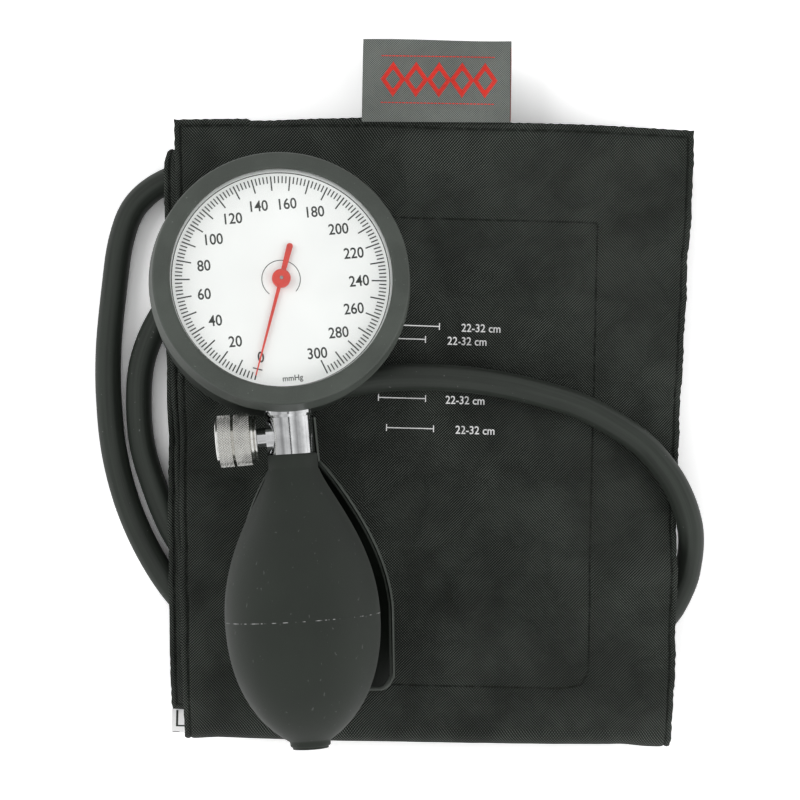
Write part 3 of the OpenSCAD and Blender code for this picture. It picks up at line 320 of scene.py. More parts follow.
def hose_rubber():
    """Extruded rubber: long faint streaks along its length, which also serve as painted highlight
    bands, over a satin ground.
    """
    colour = grey(44)
    s = Shader("hose_rubber", Specular_IOR_Level=0.4)
    at = s.attribute()
    streak_and_sheen = s.noise(s.stretch(at, (0.9, 0.9, 0.012)), 1.1, 3, 0.6)
    cloud = s.noise(at, 0.09, 4)
    fine = s.noise(at, 2.4, 3, 0.65)
    # Lighter and darker bands along the hose: extrusion streaks and painted highlight
    base = s.mix(s.window(streak_and_sheen, 0.35, 0.65), scaled(colour, 0.78), scaled(colour, 1.3))
    base = s.mix(s.window(cloud, 0.35, 0.75, 0, 0.3), base, scaled(colour, 1.35))
    speck = s.window(s.noise(at, 0.9, 2, 0.4), 0.74, 0.76, 0, 0.4)
    base = s.mix(speck, base, grey(140))
    s.set(Base_Color=base, Roughness=s.window(streak_and_sheen, 0.3, 0.7, 0.4, 0.52))
    s.set(Normal=s.bump(fine, 0.012))


def pile(name, dark, light, scale, depth):
    """Tufted fastening tape."""
    s = Shader(name, Sheen_Weight=0.25)
    at = s.attribute()
    curl = s.noise(s.stretch(at, (1.0, 1.0, 0.2)), scale, 4, 0.8)
    tuft = s.node("TexVoronoi", {"Vector": at, "Scale": scale * 0.6})
    height = s.math("ADD", curl, s.math("MULTIPLY", tuft, 0.6))
    s.set(Base_Color=s.mix(s.window(height, 0.4, 1.0), dark, light), Roughness=0.85)
    s.set(Normal=s.bump(height, depth))


def knurled_chrome():
    """Chrome with painted shade in the knurl's valleys and the knob's grooves; relief holds the
    height, 0 to 1, that sets this painted light and shade.
    """
    s = metal("knurled_chrome", (0.78, 0.78, 0.76), 0.16, 0.0, 0.01)
    height = s.split(s.attribute("relief"))[0]
    s.set(Base_Color=s.mix(s.window(height, 0.05, 0.6), (0.6, 0.59, 0.54), (0.99, 0.99, 0.96)))


moulded("case_black", grey(40), 0.42, 2.8, 0.012, 0.3)
moulded("ring_grey", grey(73), 0.46, 3.4, 0.014, 0.25)
moulded("valve_rubber", grey(34), 0.6, 2.0)
moulded("bladder_film", grey(58), 0.5, 1.2, 0.03, 0.2)
# The spoon's black is darkened as painted shade for its inside under the bulb; the rim's look is a
# lighter copy of it, a painted highlight
moulded("spoon_black", grey(24), 0.38, 1.6, 0.01, 0.3)
moulded("rim_painted_highlight", grey(68), 0.4, 1.6, 0.01, 0.3)
moulded("ink_black", grey(38), 0.5, 3.0, 0.003)
moulded("pointer_red", (0.62, 0.035, 0.02), 0.3, 3.0, 0.004)
moulded("thread_black", grey(16), 0.5, 4.0)
moulded("thread_red", (0.78, 0.035, 0.022), 0.55, 4.0, 0.03)
moulded("selvedge_red", (0.2, 0.02, 0.014), 0.6, 4.0, 0.03)
moulded("print_white", grey(232), 0.6, 1.4)
metal("chrome", (0.80, 0.81, 0.82), 0.09, 0.0, 0.004)
metal("steel", (0.56, 0.57, 0.58), 0.3, 0.1)
metal("brass", (0.72, 0.53, 0.24), 0.28, 0.1)
metal("bronze", (0.60, 0.35, 0.17), 0.32, 0.1)
knurled_chrome()
dial_paint("dial_white", (0.965, 0.968, 0.955), 0.35)
dial_paint("ring_white", (0.80, 0.81, 0.80), 0.5)
clear_front()
bulb_rubber()
hose_rubber()
woven("cuff_nylon", grey(14), grey(89), WEAVE, 0.5, 0.2, 0.28, 0.16, -0.15, True)
woven("tag_grey", (0.052, 0.056, 0.052), (0.228, 0.249, 0.23), 0.62, 0.6, 0.05, 0.12)
woven("care_white", grey(238), grey(252), 0.5, 0.6, 0.03, 0.1)
pile("loop_pile", grey(12), grey(40), 2.2, 0.25)
pile("hook_pile", grey(14), grey(46), 1.5, 0.3)

# The record's slots whose look has another name
LOOK_OF = {"movement_brass": "brass", "capsule_bronze": "bronze", "spring_steel": "steel",
           "hook_and_loop": "loop_pile"}
for part in frame["record"]["subparts"]:
    slot = part["material_slot"]
    mesh = frame["nodes"][part["node"]].data
    mesh.materials.clear()
    mesh.materials.append(LOOKS[LOOK_OF.get(slot, slot)])

# ---- mesh helpers

def add_mesh(name, shape, look, inside=None, body="root", replaces=(), sharp=50,
             relief=None):
    """A piece from a shape: points in millimetres, faces, and the places that its material reads
    if they aren't its points. Its slot has its look's name."""
    points, faces, *local = shape
    points = np.asarray(points, float)
    own = np.asarray(local[0], float) if local else points
    if inside is not None:
        m = np.array(inside)
        points = points @ m[:3, :3].T + m[:3, 3]
    mesh = bpy.data.meshes.new(name)
    mesh.from_pydata((points * MM).tolist(), [], faces)
    for label, values in (("local", own), ("relief", relief)):
        if values is not None:
            layer = mesh.attributes.new(label, "FLOAT_VECTOR", "POINT")
            layer.data.foreach_set("vector", np.asarray(values, np.float32).ravel())
    edit = bmesh.new()
    edit.from_mesh(mesh)
    bmesh.ops.recalc_face_normals(edit, faces=edit.faces)
    edit.to_mesh(mesh)
    edit.free()
    mesh.shade_smooth()
    mesh.set_sharp_from_angle(angle=radians(sharp))
    mesh.materials.append(LOOKS[look])
    piece = show(name, mesh)
    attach(piece, body)
    if replaces:
        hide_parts(*replaces)
    return piece


def lathe(profile, sides, closed=True):
    """Turns a line of (radius, height) about z. A point on the axis is a single vertex."""
    points, rings = [], []
    for r, z in profile:
        if r < 1e-6:
            rings.append([len(points)])
            points.append((0, 0, z))
        else:
            rings.append(list(range(len(points), len(points) + sides)))
            points += [(r * cos(a), r * sin(a), z)
                       for a in (2 * pi * k / sides for k in range(sides))]
    faces = []
    pairs = zip(rings, rings[1:] + rings[:1]) if closed else zip(rings, rings[1:])
    for a, b in pairs:
        for k in range(sides):
            n = (k + 1) % sides
            if len(a) == 1 and len(b) == 1:
                break
            if len(a) == 1:
                faces.append((a[0], b[k], b[n]))
            elif len(b) == 1:
                faces.append((a[k], b[0], a[n]))
            else:
                faces.append((a[k], b[k], b[n], a[n]))
    return points, faces


def rounded(corners, radii, count):
    """A closed line of (radius, height) with its corners rounded."""
    line = []
    for i, (corner, r) in enumerate(zip(corners, radii)):
        here = Vector(corner)
        to_last = (Vector(corners[i - 1]) - here).normalized()
        to_next = (Vector(corners[(i + 1) % len(corners)]) - here).normalized()
        if r <= 0:
            line.append(tuple(here))
            continue
        half = to_last.angle(to_next) / 2
        reach = r / tan(half)
        a, b = here + to_last * reach, here + to_next * reach
        centre = here + (to_last + to_next).normalized() * (r / sin(half))
        start, end = a - centre, b - centre
        for k in range(count + 1):
            line.append(tuple(centre + start.slerp(end, k / count, start)))
    return line


def join(parts):
    """One list of points and faces from several."""
    points, faces = [], []
    for p, f in parts:
        base = len(points)
        points += [tuple(v) for v in p]
        faces += [tuple(base + i for i in face) for face in f]
    return points, faces


def smooth_path(points, count):
    """Catmull-Rom line through the points, count steps to each."""
    p = np.asarray(points, float)
    p = np.vstack([2 * p[0] - p[1], p, 2 * p[-1] - p[-2]])
    line = []
    for i in range(1, len(p) - 2):
        a, b, c, d = p[i - 1:i + 3]
        for t in np.linspace(0, 1, count, endpoint=False):
            line.append(0.5 * (2 * b + (c - a) * t + (2 * a - 5 * b + 4 * c - d) * t**2
                               + (3 * b - a - 3 * c + d) * t**3))
    return np.array(line + [p[-2]])


def lengths(line):
    """How far along its line each point is."""
    return np.concatenate([[0], np.cumsum(np.linalg.norm(np.diff(line, axis=0), axis=1))])


def path_gap(x, y, path):
    """How far the places x, y are from a path."""
    nearest = np.full(x.shape, 1e9)
    for (ax, ay), (bx, by) in zip(path, path[1:]):
        dx, dy = bx - ax, by - ay
        t = np.clip(((x - ax) * dx + (y - ay) * dy) / (dx * dx + dy * dy), 0, 1)
        nearest = np.minimum(nearest, np.hypot(x - ax - t * dx, y - ay - t * dy))
    return nearest


def closed_sheet(rows, n):
    """Faces of a sheet whose points are rows of n, one skin after the other."""
    lift = rows * n
    faces = []
    for a in (i * n + j for i in range(rows - 1) for j in range(n - 1)):
        quad = (a, a + 1, a + n + 1, a + n)
        faces += [quad, tuple(lift + q for q in quad[::-1])]
    border = (list(range(n)) + [i * n + n - 1 for i in range(1, rows)]
              + [(rows - 1) * n + j for j in range(n - 2, -1, -1)]
              + [i * n for i in range(rows - 2, 0, -1)])
    return faces + [(b, a, lift + a, lift + b) for a, b in zip(border, border[1:] + border[:1])]


def tube_faces(rings, n):
    """Faces of rings of n points each, with a cap at both ends."""
    faces = [(i * n + k, i * n + (k + 1) % n, (i + 1) * n + (k + 1) % n, (i + 1) * n + k)
             for i in range(rings - 1) for k in range(n)]
    return faces + [tuple(range(n))[::-1], tuple(range((rings - 1) * n, rings * n))]


def unit(vectors):
    return vectors / np.linalg.norm(vectors, axis=1)[:, None]


def tube(path, radius, sides):
    """Tube along a path, with its own places as (around, around, along)."""
    path = np.asarray(path, float)
    tangent = unit(np.gradient(path, axis=0))
    side = unit(np.cross((0, 0, 1.0), tangent))
    up = np.cross(tangent, side)
    angle = 2 * np.pi * np.arange(sides) / sides
    ring = np.cos(angle)[:, None, None] * side + np.sin(angle)[:, None, None] * up
    points = (path + radius * ring).transpose(1, 0, 2).reshape(-1, 3)
    local = [(radius * cos(a), radius * sin(a), s) for s in lengths(path) for a in angle]
    return points, tube_faces(len(path), sides), local


# ---- hose

HOSE_D = 7.3
TABLE_Z = 3.7
ELBOW = np.array(GAUGE @ Vector((4.9, -25, -20.5)))
ELBOW_DIR = np.array((cos(radians(8)), sin(radians(8)), 0))
HOSE_START = ELBOW + 3.4 * ELBOW_DIR
PORT = np.array((-45, 36, TABLE_Z))
HOSE_END = PORT - (5.5, 0, 0)
HOSE_OVER = [
    (-12.5, 4, 23.4), (-2, 4.5, 22.8), (9.5, 4, 21.2), (20.5, 2.5, 19.8), (31.5, 0, 19.2),
    (42.5, -3.5, 19), (52, -8.5, 17.9), (60, -14, 16.6), (65.5, -20, 15.9), (69.5, -26, 15.2),
    (72.5, -33, 13.9), (74, -39.5, 11), (74, -46.5, 7.4), (72.5, -54, 4.6),
]
UNDER_LOW = [(67.5, -63), (58, -70.5), (46.5, -75.5), (31, -79), (14, -80.5), (-3, -81), (-20, -80),
             (-36, -77), (-50, -72.5), (-62, -65)]
ARC_OUTER = [(-71.5, -55), (-79, -43), (-84.5, -30), (-88, -16), (-89.5, -1), (-89.5, 13),
             (-88, 29), (-86, 43), (-82, 53)]
UNDER_LOOP = [(-74, 59.5), (-64, 62), (-53, 60.5), (-42.5, 55), (-32.5, 45.5), (-25, 33.5),
              (-19.5, 18), (-17, 2.5), (-18, -13), (-21.5, -28), (-28.5, -41), (-38, -49.5),
              (-49, -52.5), (-59.5, -50.5), (-67, -45)]
ARC_INNER = [(-72, -37.5), (-76.5, -26.5), (-80, -14.5), (-81, -2), (-80, 9)]
UNDER_PORT = [(-76, 19.5), (-69.5, 28.5), (-60.5, 34.5)]
on_table = [(x, y, TABLE_Z) for x, y in UNDER_LOW + ARC_OUTER + UNDER_LOOP + ARC_INNER + UNDER_PORT]
route = [HOSE_START, HOSE_START + HOSE_D * ELBOW_DIR, *HOSE_OVER, *on_table,
         HOSE_END - (HOSE_D, 0, 0), HOSE_END]
hose_line = smooth_path(route, 9)
hose = add_mesh("hose_tube", tube(hose_line, HOSE_D / 2, 28), "hose_rubber", replaces=["hose"])

# ---- cuff: t runs along its cloth from the top edge, over two folds, and x across it

CUFF_W = 143.7
PLY_HALF = 1.3
STEP, STEP_CLOSE = 6.3, 4.2             # between layers, and where they are pressed together
FOLD_LOW, FOLD_HIGH, FOLD_R = 90.5, 65.0, 3.1
TOP_EDGE, LOW_EDGE, LOW_RIGHT = 76.0, -88.3, 74.0
TOP_BOW = 1.3
HOSE_LIFT, FLAT_CUT = 8.4, 0.5
PLATEAU, SLOPE = 13.0, 17.0             # of the hump over the buried hose
DROOP_FROM, DROOP_RUN = 39.0, 35.0
TURN = radians(-1)
SHIFT = CAMERA_AT[:2]                   # the middle of the photograph, on the table
RIGHT_TOP = [(-95, 77.2), (-60, 77.4), (-45, 77.7), (-32, 77.7), (-12, 78.1), (20, 79.2),
             (40, 79.8), (50, 80.5), (62, 81), (76, 80.8)]
BURIED = [UNDER_LOW + ARC_OUTER[:1], ARC_OUTER[-1:] + UNDER_LOOP + ARC_INNER[:1],
          ARC_INNER[-1:] + UNDER_PORT + [(-45, 36)]]
FOLD_ARC = pi * 3.12
T_FOLD1 = TOP_EDGE + FOLD_LOW
T_MID = T_FOLD1 + FOLD_ARC
T_FOLD2 = T_MID + FOLD_LOW + FOLD_HIGH
T_LOW = T_FOLD2 + FOLD_ARC
T_END = T_LOW + FOLD_HIGH - LOW_EDGE


def smooth(t):
    t = np.clip(t, 0, 1)
    return t * t * (3 - 2 * t)


def line_at(a, b, y):
    return a[1] + (b[1] - a[1]) * (y - a[0]) / (b[0] - a[0])


def left_top(y):
    return line_at((76, 80 - CUFF_W), (-95, 85.4 - CUFF_W), y)


def right_top(y):
    return float(np.interp(y, *zip(*RIGHT_TOP)))


def left_low(y):
    return line_at((68, 76.5 - CUFF_W), (-88, 81 - CUFF_W), y)


def row_at(t):
    """Where the developed length t is: place along, level, normal, left and right edge."""
    left, right = left_top(-FOLD_LOW), right_top(-FOLD_LOW)
    if t <= T_FOLD1:
        y = TOP_EDGE - t
        return y, 2.0, 0.0, 1.0, left_top(y), right_top(y)
    if t < T_MID:
        a = pi * (t - T_FOLD1) / FOLD_ARC
        return (-FOLD_LOW - FOLD_R * sin(a), 1 + (1 + cos(a)) / 2, -sin(a),
                cos(a), left, right)
    if t <= T_FOLD2:
        y = -FOLD_LOW + t - T_MID
        s = (y + FOLD_LOW) / (FOLD_LOW + FOLD_HIGH)
        return (y, 1.0, 0.0, -1.0, left * (1 - s) + left_low(FOLD_HIGH) * s,
                right * (1 - s) + LOW_RIGHT * s)
    if t < T_LOW:
        a = pi * (t - T_FOLD2) / FOLD_ARC
        return (FOLD_HIGH + FOLD_R * sin(a), (1 + cos(a)) / 2, -sin(a),
                -cos(a), left_low(FOLD_HIGH), LOW_RIGHT)
    y = FOLD_HIGH - (t - T_LOW)
    return y, 0.0, 0.0, 1.0, left_low(y), LOW_RIGHT


def rows_at(t):
    return np.array([row_at(v) for v in t]).T


def to_table(x, y):
    return (x * cos(TURN) - y * sin(TURN) + SHIFT[0],
            x * sin(TURN) + y * cos(TURN) + SHIFT[1])


def hump(px, py):
    """1 over the hose's buried stretches, 0 well away from them."""
    nearest = np.min([path_gap(px, py, path) for path in BURIED], axis=0)
    return smooth((PLATEAU + SLOPE - nearest) / SLOPE)


def cloth_middle(t, x):
    """Middle of the cloth at developed lengths t and places across x, both flat arrays."""
    y, level, ny, nz, left, right = rows_at(t)
    c = (x - left) / (right - left)
    rise = np.clip((y - FOLD_HIGH) / (TOP_EDGE - FOLD_HIGH), 0, 1)
    bowed = y + np.where(level >= 2, 4 * c * (1 - c) * TOP_BOW * rise, 0)
    px, py = to_table(x, bowed)
    h = hump(px, py)
    d = smooth((px - DROOP_FROM) / DROOP_RUN)
    close = h + d - h * d
    step = STEP + (STEP_CLOSE - STEP) * close
    z = PLY_HALF + np.maximum(0, (HOSE_LIFT + FLAT_CUT) * h - FLAT_CUT) + step * level
    middle = np.stack([px, py, z], 1)
    normal = np.stack([-ny * sin(TURN), ny * cos(TURN), nz], 1)
    return middle, normal


rng = np.random.default_rng(7)
WAVES = [(rng.uniform(0.035, 0.11), rng.uniform(0, pi), rng.uniform(0, 2 * pi))
         for _ in range(9)]
CREASES = [  # middle x, y, direction in degrees, half length, half width, height
    (14, -78, 118, 16, 2.6, 0.42), (22, -84, 105, 12, 2.0, -0.34), (-2, -70, 60, 20, 3.5, 0.3),
    (34, -20, 70, 26, 5.0, 0.34), (20, -34, 58, 24, 4.2, -0.3), (58, -30, 64, 20, 3.4, 0.3),
    (60, 20, 80, 26, 4.0, 0.26), (-52, 66, 20, 24, 5.0, 0.34), (-20, 64, 160, 20, 4.0, -0.2),
    (40, 62, 30, 30, 5.0, 0.24), (-50, -30, 75, 22, 3.0, 0.28), (-52, -60, 100, 18, 3.0, -0.26),
    (10, 30, 40, 26, 6.0, 0.22), (44, -66, 130, 18, 3.0, 0.28),
]


def wrinkles(x, y):
    """Slow undulation of the cloth and its few creases, in millimetres."""
    total = np.zeros_like(x)
    for k, a, phase in WAVES:
        total += np.sin((x * cos(a) + y * sin(a)) * 2 * pi * k + phase)
    total *= 0.045
    for cx, cy, turn, reach, width, height in CREASES:
        a = radians(turn)
        along = (x - cx) * cos(a) + (y - cy) * sin(a)
        across = -(x - cx) * sin(a) + (y - cy) * cos(a)
        total += height * np.exp(-((along / reach) ** 2) - ((across / width) ** 2))
    return total


# The stitched patch outline on the top panel, closed, in the cuff's own axes
SEAM = [(-35.3, 50.9), (54.1, 50.2), (53.3, -74.6), (51.2, -78.0), (46.0, -79.0),
        (-35.3, -78.4), (-35.3, 50.9)]
TOP_PANEL = T_FOLD1 + 4                 # where the top panel's cloth ends
FAR = 99


def seam_side(t, x):
    """Signed distance from the stitched outline on the top panel, negative inside it."""
    y = TOP_EDGE - t
    inside = np.zeros(x.shape, bool)
    for (ax, ay), (bx, by) in zip(SEAM, SEAM[1:]):
        if ay != by:
            crosses = (ay > y) != (by > y)
            inside ^= crosses & (x < ax + (bx - ax) * (y - ay) / (by - ay))
    return np.where(t < TOP_PANEL, path_gap(x, y, SEAM) * np.where(inside, -1, 1), FAR)


def edge_gap(t, x):
    left, right = rows_at(t)[4:]
    return np.minimum(np.minimum(x - left, right - x), np.minimum(t, T_END - t))


# Half the cloth's thickness against the distance from its edge: hem, its seam, full cloth
HALF_TABLE = ((0, 0.5), (0.35, 0.72), (0.9, 0.84), (1.35, 0.7), (1.7, 0.46), (2.05, 0.7),
              (2.6, 0.86), (4.5, 1.0), (8, 1.24), (11, 1.3))


def half_thickness(t, x, side):
    """From the middle of the cloth to its outer (1) or inner (-1) skin."""
    gap = edge_gap(t, x)
    half = np.interp(gap, *zip(*HALF_TABLE))
    y = TOP_EDGE - t
    inside = np.clip(gap / 6, 0, 1)
    if side > 0:
        on_top = t < TOP_PANEL
        groove = -0.42 * np.exp(-((path_gap(x, y, SEAM) / 0.75) ** 2)) * on_top
        return half + groove + np.where(on_top, 1.0, 0.3) * wrinkles(x, y) * inside
    return half + 0.25 * wrinkles(x + 40, y - 25) * inside


HEM_PLACES = (0, 0.18, 0.5, 0.9, 1.35, 1.7, 2.05, 2.6, 3.5)
HEM, HEM_ROWS = HEM_PLACES[-1], len(HEM_PLACES) - 1
CLOTH_STEP = 1.25


def hem_steps(high):
    """Places from 0 to high: close together at both hems, then evenly apart."""
    even = np.linspace(HEM, high - HEM, int(round((high - 2 * HEM) / CLOTH_STEP)) + 1)
    return np.concatenate([HEM_PLACES[:-1], even, [high - e for e in HEM_PLACES[-2::-1]]])


STITCH_PITCH = 2.9
# How much the sewn tag and the cloth's own bow lift the upper edge, across the cuff
TOP_RISE = [(-64, 0), (-38, 0), (-24, 0.8), (-10, 1.3), (0, 1.0), (12, 0.4), (34, 0.55),
            (58, 0.75), (81, 0.8)]


def slab(ts, spans, near, far, wobble=0.0):
    """Closed sheet over rows ts; spans gives each row's places across, near and far its skins."""
    n = len(spans[0])
    t = np.repeat(ts, n)
    x = np.concatenate(spans)
    middle, normal = cloth_middle(t, x)
    if wobble:
        left, right = rows_at(t)[4:]
        left_share = np.clip(1 - (x - left) / 6, 0, 1)
        right_share = np.clip(1 - (right - x) / 6, 0, 1)
        wave = np.sin(t * 0.31) + 0.6 * np.sin(t * 0.83 + 1) + 0.5 * np.sin(t * 0.117 + 2)
        wave += 0.9 * np.cos(2 * np.pi * t / STITCH_PITCH)
        middle[:, 0] += wobble * wave * (right_share - left_share * np.cos(t * 0.05))
        upper_fold = np.clip(1 - np.abs(t - T_FOLD2 - FOLD_ARC / 2) / 9, 0, 1)
        middle[:, 0] += 1.8 * upper_fold**2 * left_share
        lower_fold = np.clip(1 - np.abs(t - T_FOLD1 - FOLD_ARC / 2) / 14, 0, 1)
        corner = smooth((x - 62) / 14) * 1.5
        corner += smooth((-48 - x) / 10) * smooth((x + 63) / 4) * 1.2
        middle[:, 1] -= lower_fold * corner
        pucker = np.where(x < -42.8, 0.5, 0) + 0.1 * np.cos(2 * np.pi * x / STITCH_PITCH)
        rise = np.interp(x, *zip(*TOP_RISE))
        middle[:, 1] += np.clip(1 - t / 5, 0, 1) * (pucker + rise)
    points = np.vstack([middle + normal * skin(t, x)[:, None] for skin in (near, far)])
    local = np.vstack([np.stack([x, -t, np.full_like(x, s)], 1) for s in (0.0, 3.0)])
    return points, closed_sheet(len(ts), n), local


def across(t):
    """A row's places across the cloth, with the same steps at the hems in every row."""
    left, right = row_at(t)[4:]
    places = hem_steps(CUFF_W)
    share = (places[HEM_ROWS:-HEM_ROWS] - HEM) / (CUFF_W - 2 * HEM)
    inner = left + HEM + share * (right - left - 2 * HEM)
    return np.concatenate([left + places[:HEM_ROWS], inner, right - places[:HEM_ROWS][::-1]])


fold_ts = [np.linspace(a, a + FOLD_ARC, 13)[1:-1] for a in (T_FOLD1, T_FOLD2)]
top_ts = hem_steps(T_FOLD1 + HEM)[:-HEM_ROWS]
low_ts = T_END - hem_steps(T_END - T_LOW + HEM)[:-HEM_ROWS][::-1]
mid_ts = np.linspace(T_MID, T_FOLD2, int((T_FOLD2 - T_MID) / CLOTH_STEP))
cloth_ts = np.concatenate([top_ts, fold_ts[0], mid_ts, fold_ts[1], low_ts])
cloth = slab(cloth_ts, [across(t) for t in cloth_ts], lambda t, x: -half_thickness(t, x, -1),
             lambda t, x: half_thickness(t, x, 1), 0.13)
sheet_x, sheet_t, outside = cloth[2][:, 0], -cloth[2][:, 1], cloth[2][:, 2] > 1
seam = np.where(outside, seam_side(sheet_t, sheet_x), FAR)
cuff = add_mesh("cuff_cloth", cloth, "cuff_nylon", replaces=["cuff_outer_ply", "cuff_inner_ply"],
                sharp=80, relief=np.stack([seam, edge_gap(sheet_t, sheet_x), seam], 1))


def patch(name, t0, t1, x0, x1, near, far, look, slot, node, rough=0.0):
    """A tape or bag inside the cuff, between two heights over the middle of its cloth."""
    ts = np.linspace(t0, t1, int(abs(t1 - t0) / 2.0) + 1)
    xs = np.linspace(x0, x1, int((x1 - x0) / 2.0) + 1)

    def rough_skin(t, x):
        return far + rough * np.sin(x * 0.9 + t * 0.6) * np.cos(t * 0.8)

    add_mesh(name, slab(ts, [xs] * len(ts), lambda t, x: near + 0 * x, rough_skin), look,
             replaces=[node])


TAPE = (51.5, -79.5)
TAPE_X = (-36, 54)
LOW_T0 = T_LOW + FOLD_HIGH
patch("hook_patch_tape", TOP_EDGE - TAPE[0], TOP_EDGE - TAPE[1], *TAPE_X, -1.45, -2.3,
      "hook_pile", "hook_and_loop", "hook_patch", 0.05)
patch("loop_patch_tape", LOW_T0 - TAPE[0] + 10, LOW_T0 - TAPE[1], *TAPE_X, 1.45, 2.25,
      "loop_pile", "hook_and_loop", "loop_patch", 0.06)
patch("bladder_bag", T_MID + 60, T_END - 12, -46, 62, -0.45, 0.45, "bladder_film",
      "bladder_film", "bladder")

# ---- stitches

def capsule(a, b, up, radius, sink=0.35):
    """One stitch from a to b: a short thread that dives into the cloth at both ends."""
    a, b, up = (np.asarray(v, float) for v in (a, b, up))
    run = b - a
    side = np.cross(run, up)
    side /= np.linalg.norm(side)
    points = []
    for s, lift, r in ((-0.02, -sink, 0.55), (0.12, 0.05, 0.95), (0.5, 0.16, 1.0),
                       (0.88, 0.05, 0.95), (1.02, -sink, 0.55)):
        for k in range(6):
            angle = pi / 3 * k
            points.append(a + run * s + up * lift * radius * 2
                          + radius * r * (side * cos(angle) + up * sin(angle)))
    return points, tube_faces(5, 6)


def skin_points(line, side):
    """Points and normals on the cloth's skin along a line of (t, x)."""
    line = np.asarray(line, float)
    middle, normal = cloth_middle(line[:, 0], line[:, 1])
    off = side * half_thickness(line[:, 0], line[:, 1], side)
    return middle + normal * off[:, None], normal * side


def stitch_run(line, pitch, side, radius=0.17):
    """Stitches of one pitch along a line of (t, x) on one skin."""
    line = np.asarray(line, float)
    reach = lengths(line)
    count = int(reach[-1] / pitch)
    starts = np.arange(count) * pitch + pitch * 0.1
    at = [np.stack([np.interp(v, reach, line[:, c]) for c in (0, 1)], 1)
          for v in (starts, starts + pitch * 0.74)]
    a, up = skin_points(at[0], side)
    b, _ = skin_points(at[1], side)
    sway = [np.array((0.08 * sin(i * 2.4), 0, 0)) for i in range(count)]
    return [capsule(a[i] + sway[i], b[i] - sway[i], up[i], radius) for i in range(count)]


hem_ts = np.linspace(HEM_LINE, T_END - HEM_LINE, 500)
hem_left = [(t, row_at(t)[4] + HEM_LINE) for t in hem_ts]
hem_right = [(t, row_at(t)[5] - HEM_LINE) for t in hem_ts]
hem_ends = [[(t, x) for x in np.linspace(row_at(t)[4] + 2.5, row_at(t)[5] - 2.5, 60)]
            for t in (HEM_LINE, T_END - HEM_LINE)]
stitches = []
for side in (1, -1):
    for line in (hem_left, hem_right, *hem_ends):
        stitches += stitch_run(line, STITCH_PITCH, side)
stitches += stitch_run([(TOP_EDGE - y, x) for x, y in SEAM], 3.1, 1, 0.15)
add_mesh("cuff_stitching", join(stitches), "thread_black")

# ---- generic lettering: numbers and units

CAPITAL = 0.729     # height of the built-in typeface at size 1
INK = 0.02          # thickness of a printed mark


def text_mesh(body, height, squeeze, thick=INK):
    """A line of characters as a thin mesh, centred, with its characters height tall."""
    curve = bpy.data.curves.new("text", "FONT")
    curve.body = body
    curve.resolution_u = 4
    curve.offset = 0.012
    temp = show("text", curve)
    mesh = temp.to_mesh()
    points = np.array([v.co for v in mesh.vertices])
    faces = [tuple(p.vertices) for p in mesh.polygons]
    temp.to_mesh_clear()
    bpy.data.objects.remove(temp)
    bpy.data.curves.remove(curve)
    points *= height / CAPITAL
    points[:, 0] *= squeeze
    points[:, 0] -= (points[:, 0].min() + points[:, 0].max()) / 2
    points[:, 1] -= height / 2
    # closed into a thin solid: a copy of the face above, and walls along the open edges
    n = len(points)
    edges = dict.fromkeys(e for f in faces for e in zip(f, f[1:] + f[:1]))
    walls = [(b, a, n + a, n + b) for (a, b) in edges if (b, a) not in edges]
    low, high = points.copy(), points.copy()
    low[:, 2], high[:, 2] = 0, thick
    top = [tuple(n + i for i in f) for f in faces]
    return np.vstack([low, high]), [f[::-1] for f in faces] + top + walls


def moved(part, x=0.0, y=0.0, turn=0.0):
    """A part turned about z, then moved."""
    points, faces = np.asarray(part[0], float), part[1]
    c, s = cos(radians(turn)), sin(radians(turn))
    return points @ np.array([[c, s, 0], [-s, c, 0], [0, 0, 1]]) + (x, y, 0.0), faces


def bar(r0, r1, width, angle=0):
    """A flat bar along a radius."""
    points = [(r, y, z) for z in (0, INK) for r, y in
              ((r0, -width / 2), (r1, -width / 2), (r1, width / 2), (r0, width / 2))]
    faces = [(3, 2, 1, 0), (4, 5, 6, 7), (0, 1, 5, 4), (1, 2, 6, 5), (2, 3, 7, 6), (3, 0, 4, 7)]
    return moved((points, faces), turn=angle)


def ring_line(radius, width, start, end, count):
    """A printed arc."""
    closed = end - start >= 360
    angles = np.radians(np.linspace(start, end, count + 1))
    if closed:
        angles = angles[:-1]
    low, high = radius - width / 2, radius + width / 2
    points = [(r * cos(a), r * sin(a), z) for a in angles
              for r, z in ((low, 0), (high, 0), (high, INK), (low, INK))]
    n = len(angles)
    faces = [(i * 4 + k, i * 4 + (k + 1) % 4, (i + 1) % n * 4 + (k + 1) % 4, (i + 1) % n * 4 + k)
             for i in range(n if closed else n - 1) for k in range(4)]
    if not closed:
        faces += [(0, 1, 2, 3), tuple(range(4 * n - 1, 4 * n - 5, -1))]
    return points, faces


ZERO_ANGLE = -110.1
PER_UNIT = 319.8 / 300
DIAL_Z = 11.2
marks = []
for value in range(0, 301, 2):
    long = value % 10 == 0
    marks.append(bar(24.1 if long else 26.1, 28.0, 0.36 if long else 0.32,
                     ZERO_ANGLE - PER_UNIT * value))
marks.append(moved(moved(bar(-0.16, 0.16, 2.6), 25.0), turn=ZERO_ANGLE))
for value in range(0, 301, 20):
    angle = radians(ZERO_ANGLE - PER_UNIT * value)
    reach = {0: 21.6, 300: 21.9}.get(value, 20.7)
    marks.append(moved(text_mesh(str(value), 3.0, 0.88), reach * cos(angle),
                       reach * sin(angle)))
marks.append(moved(text_mesh("mmHg", 1.55, 0.95), 0.4, -26.6))
# Painted shadow: a dark ring on the dial along the white ring's inner step
marks.append(ring_line(28.9, 0.24, 0, 360, 160))
marks.append(ring_line(5.1, 0.2, -45, 227, 60))
add_mesh("dial_print", join(marks), "ink_black",
         GAUGE @ Matrix.Translation((0, 0, DIAL_Z + 0.005)), sharp=30)


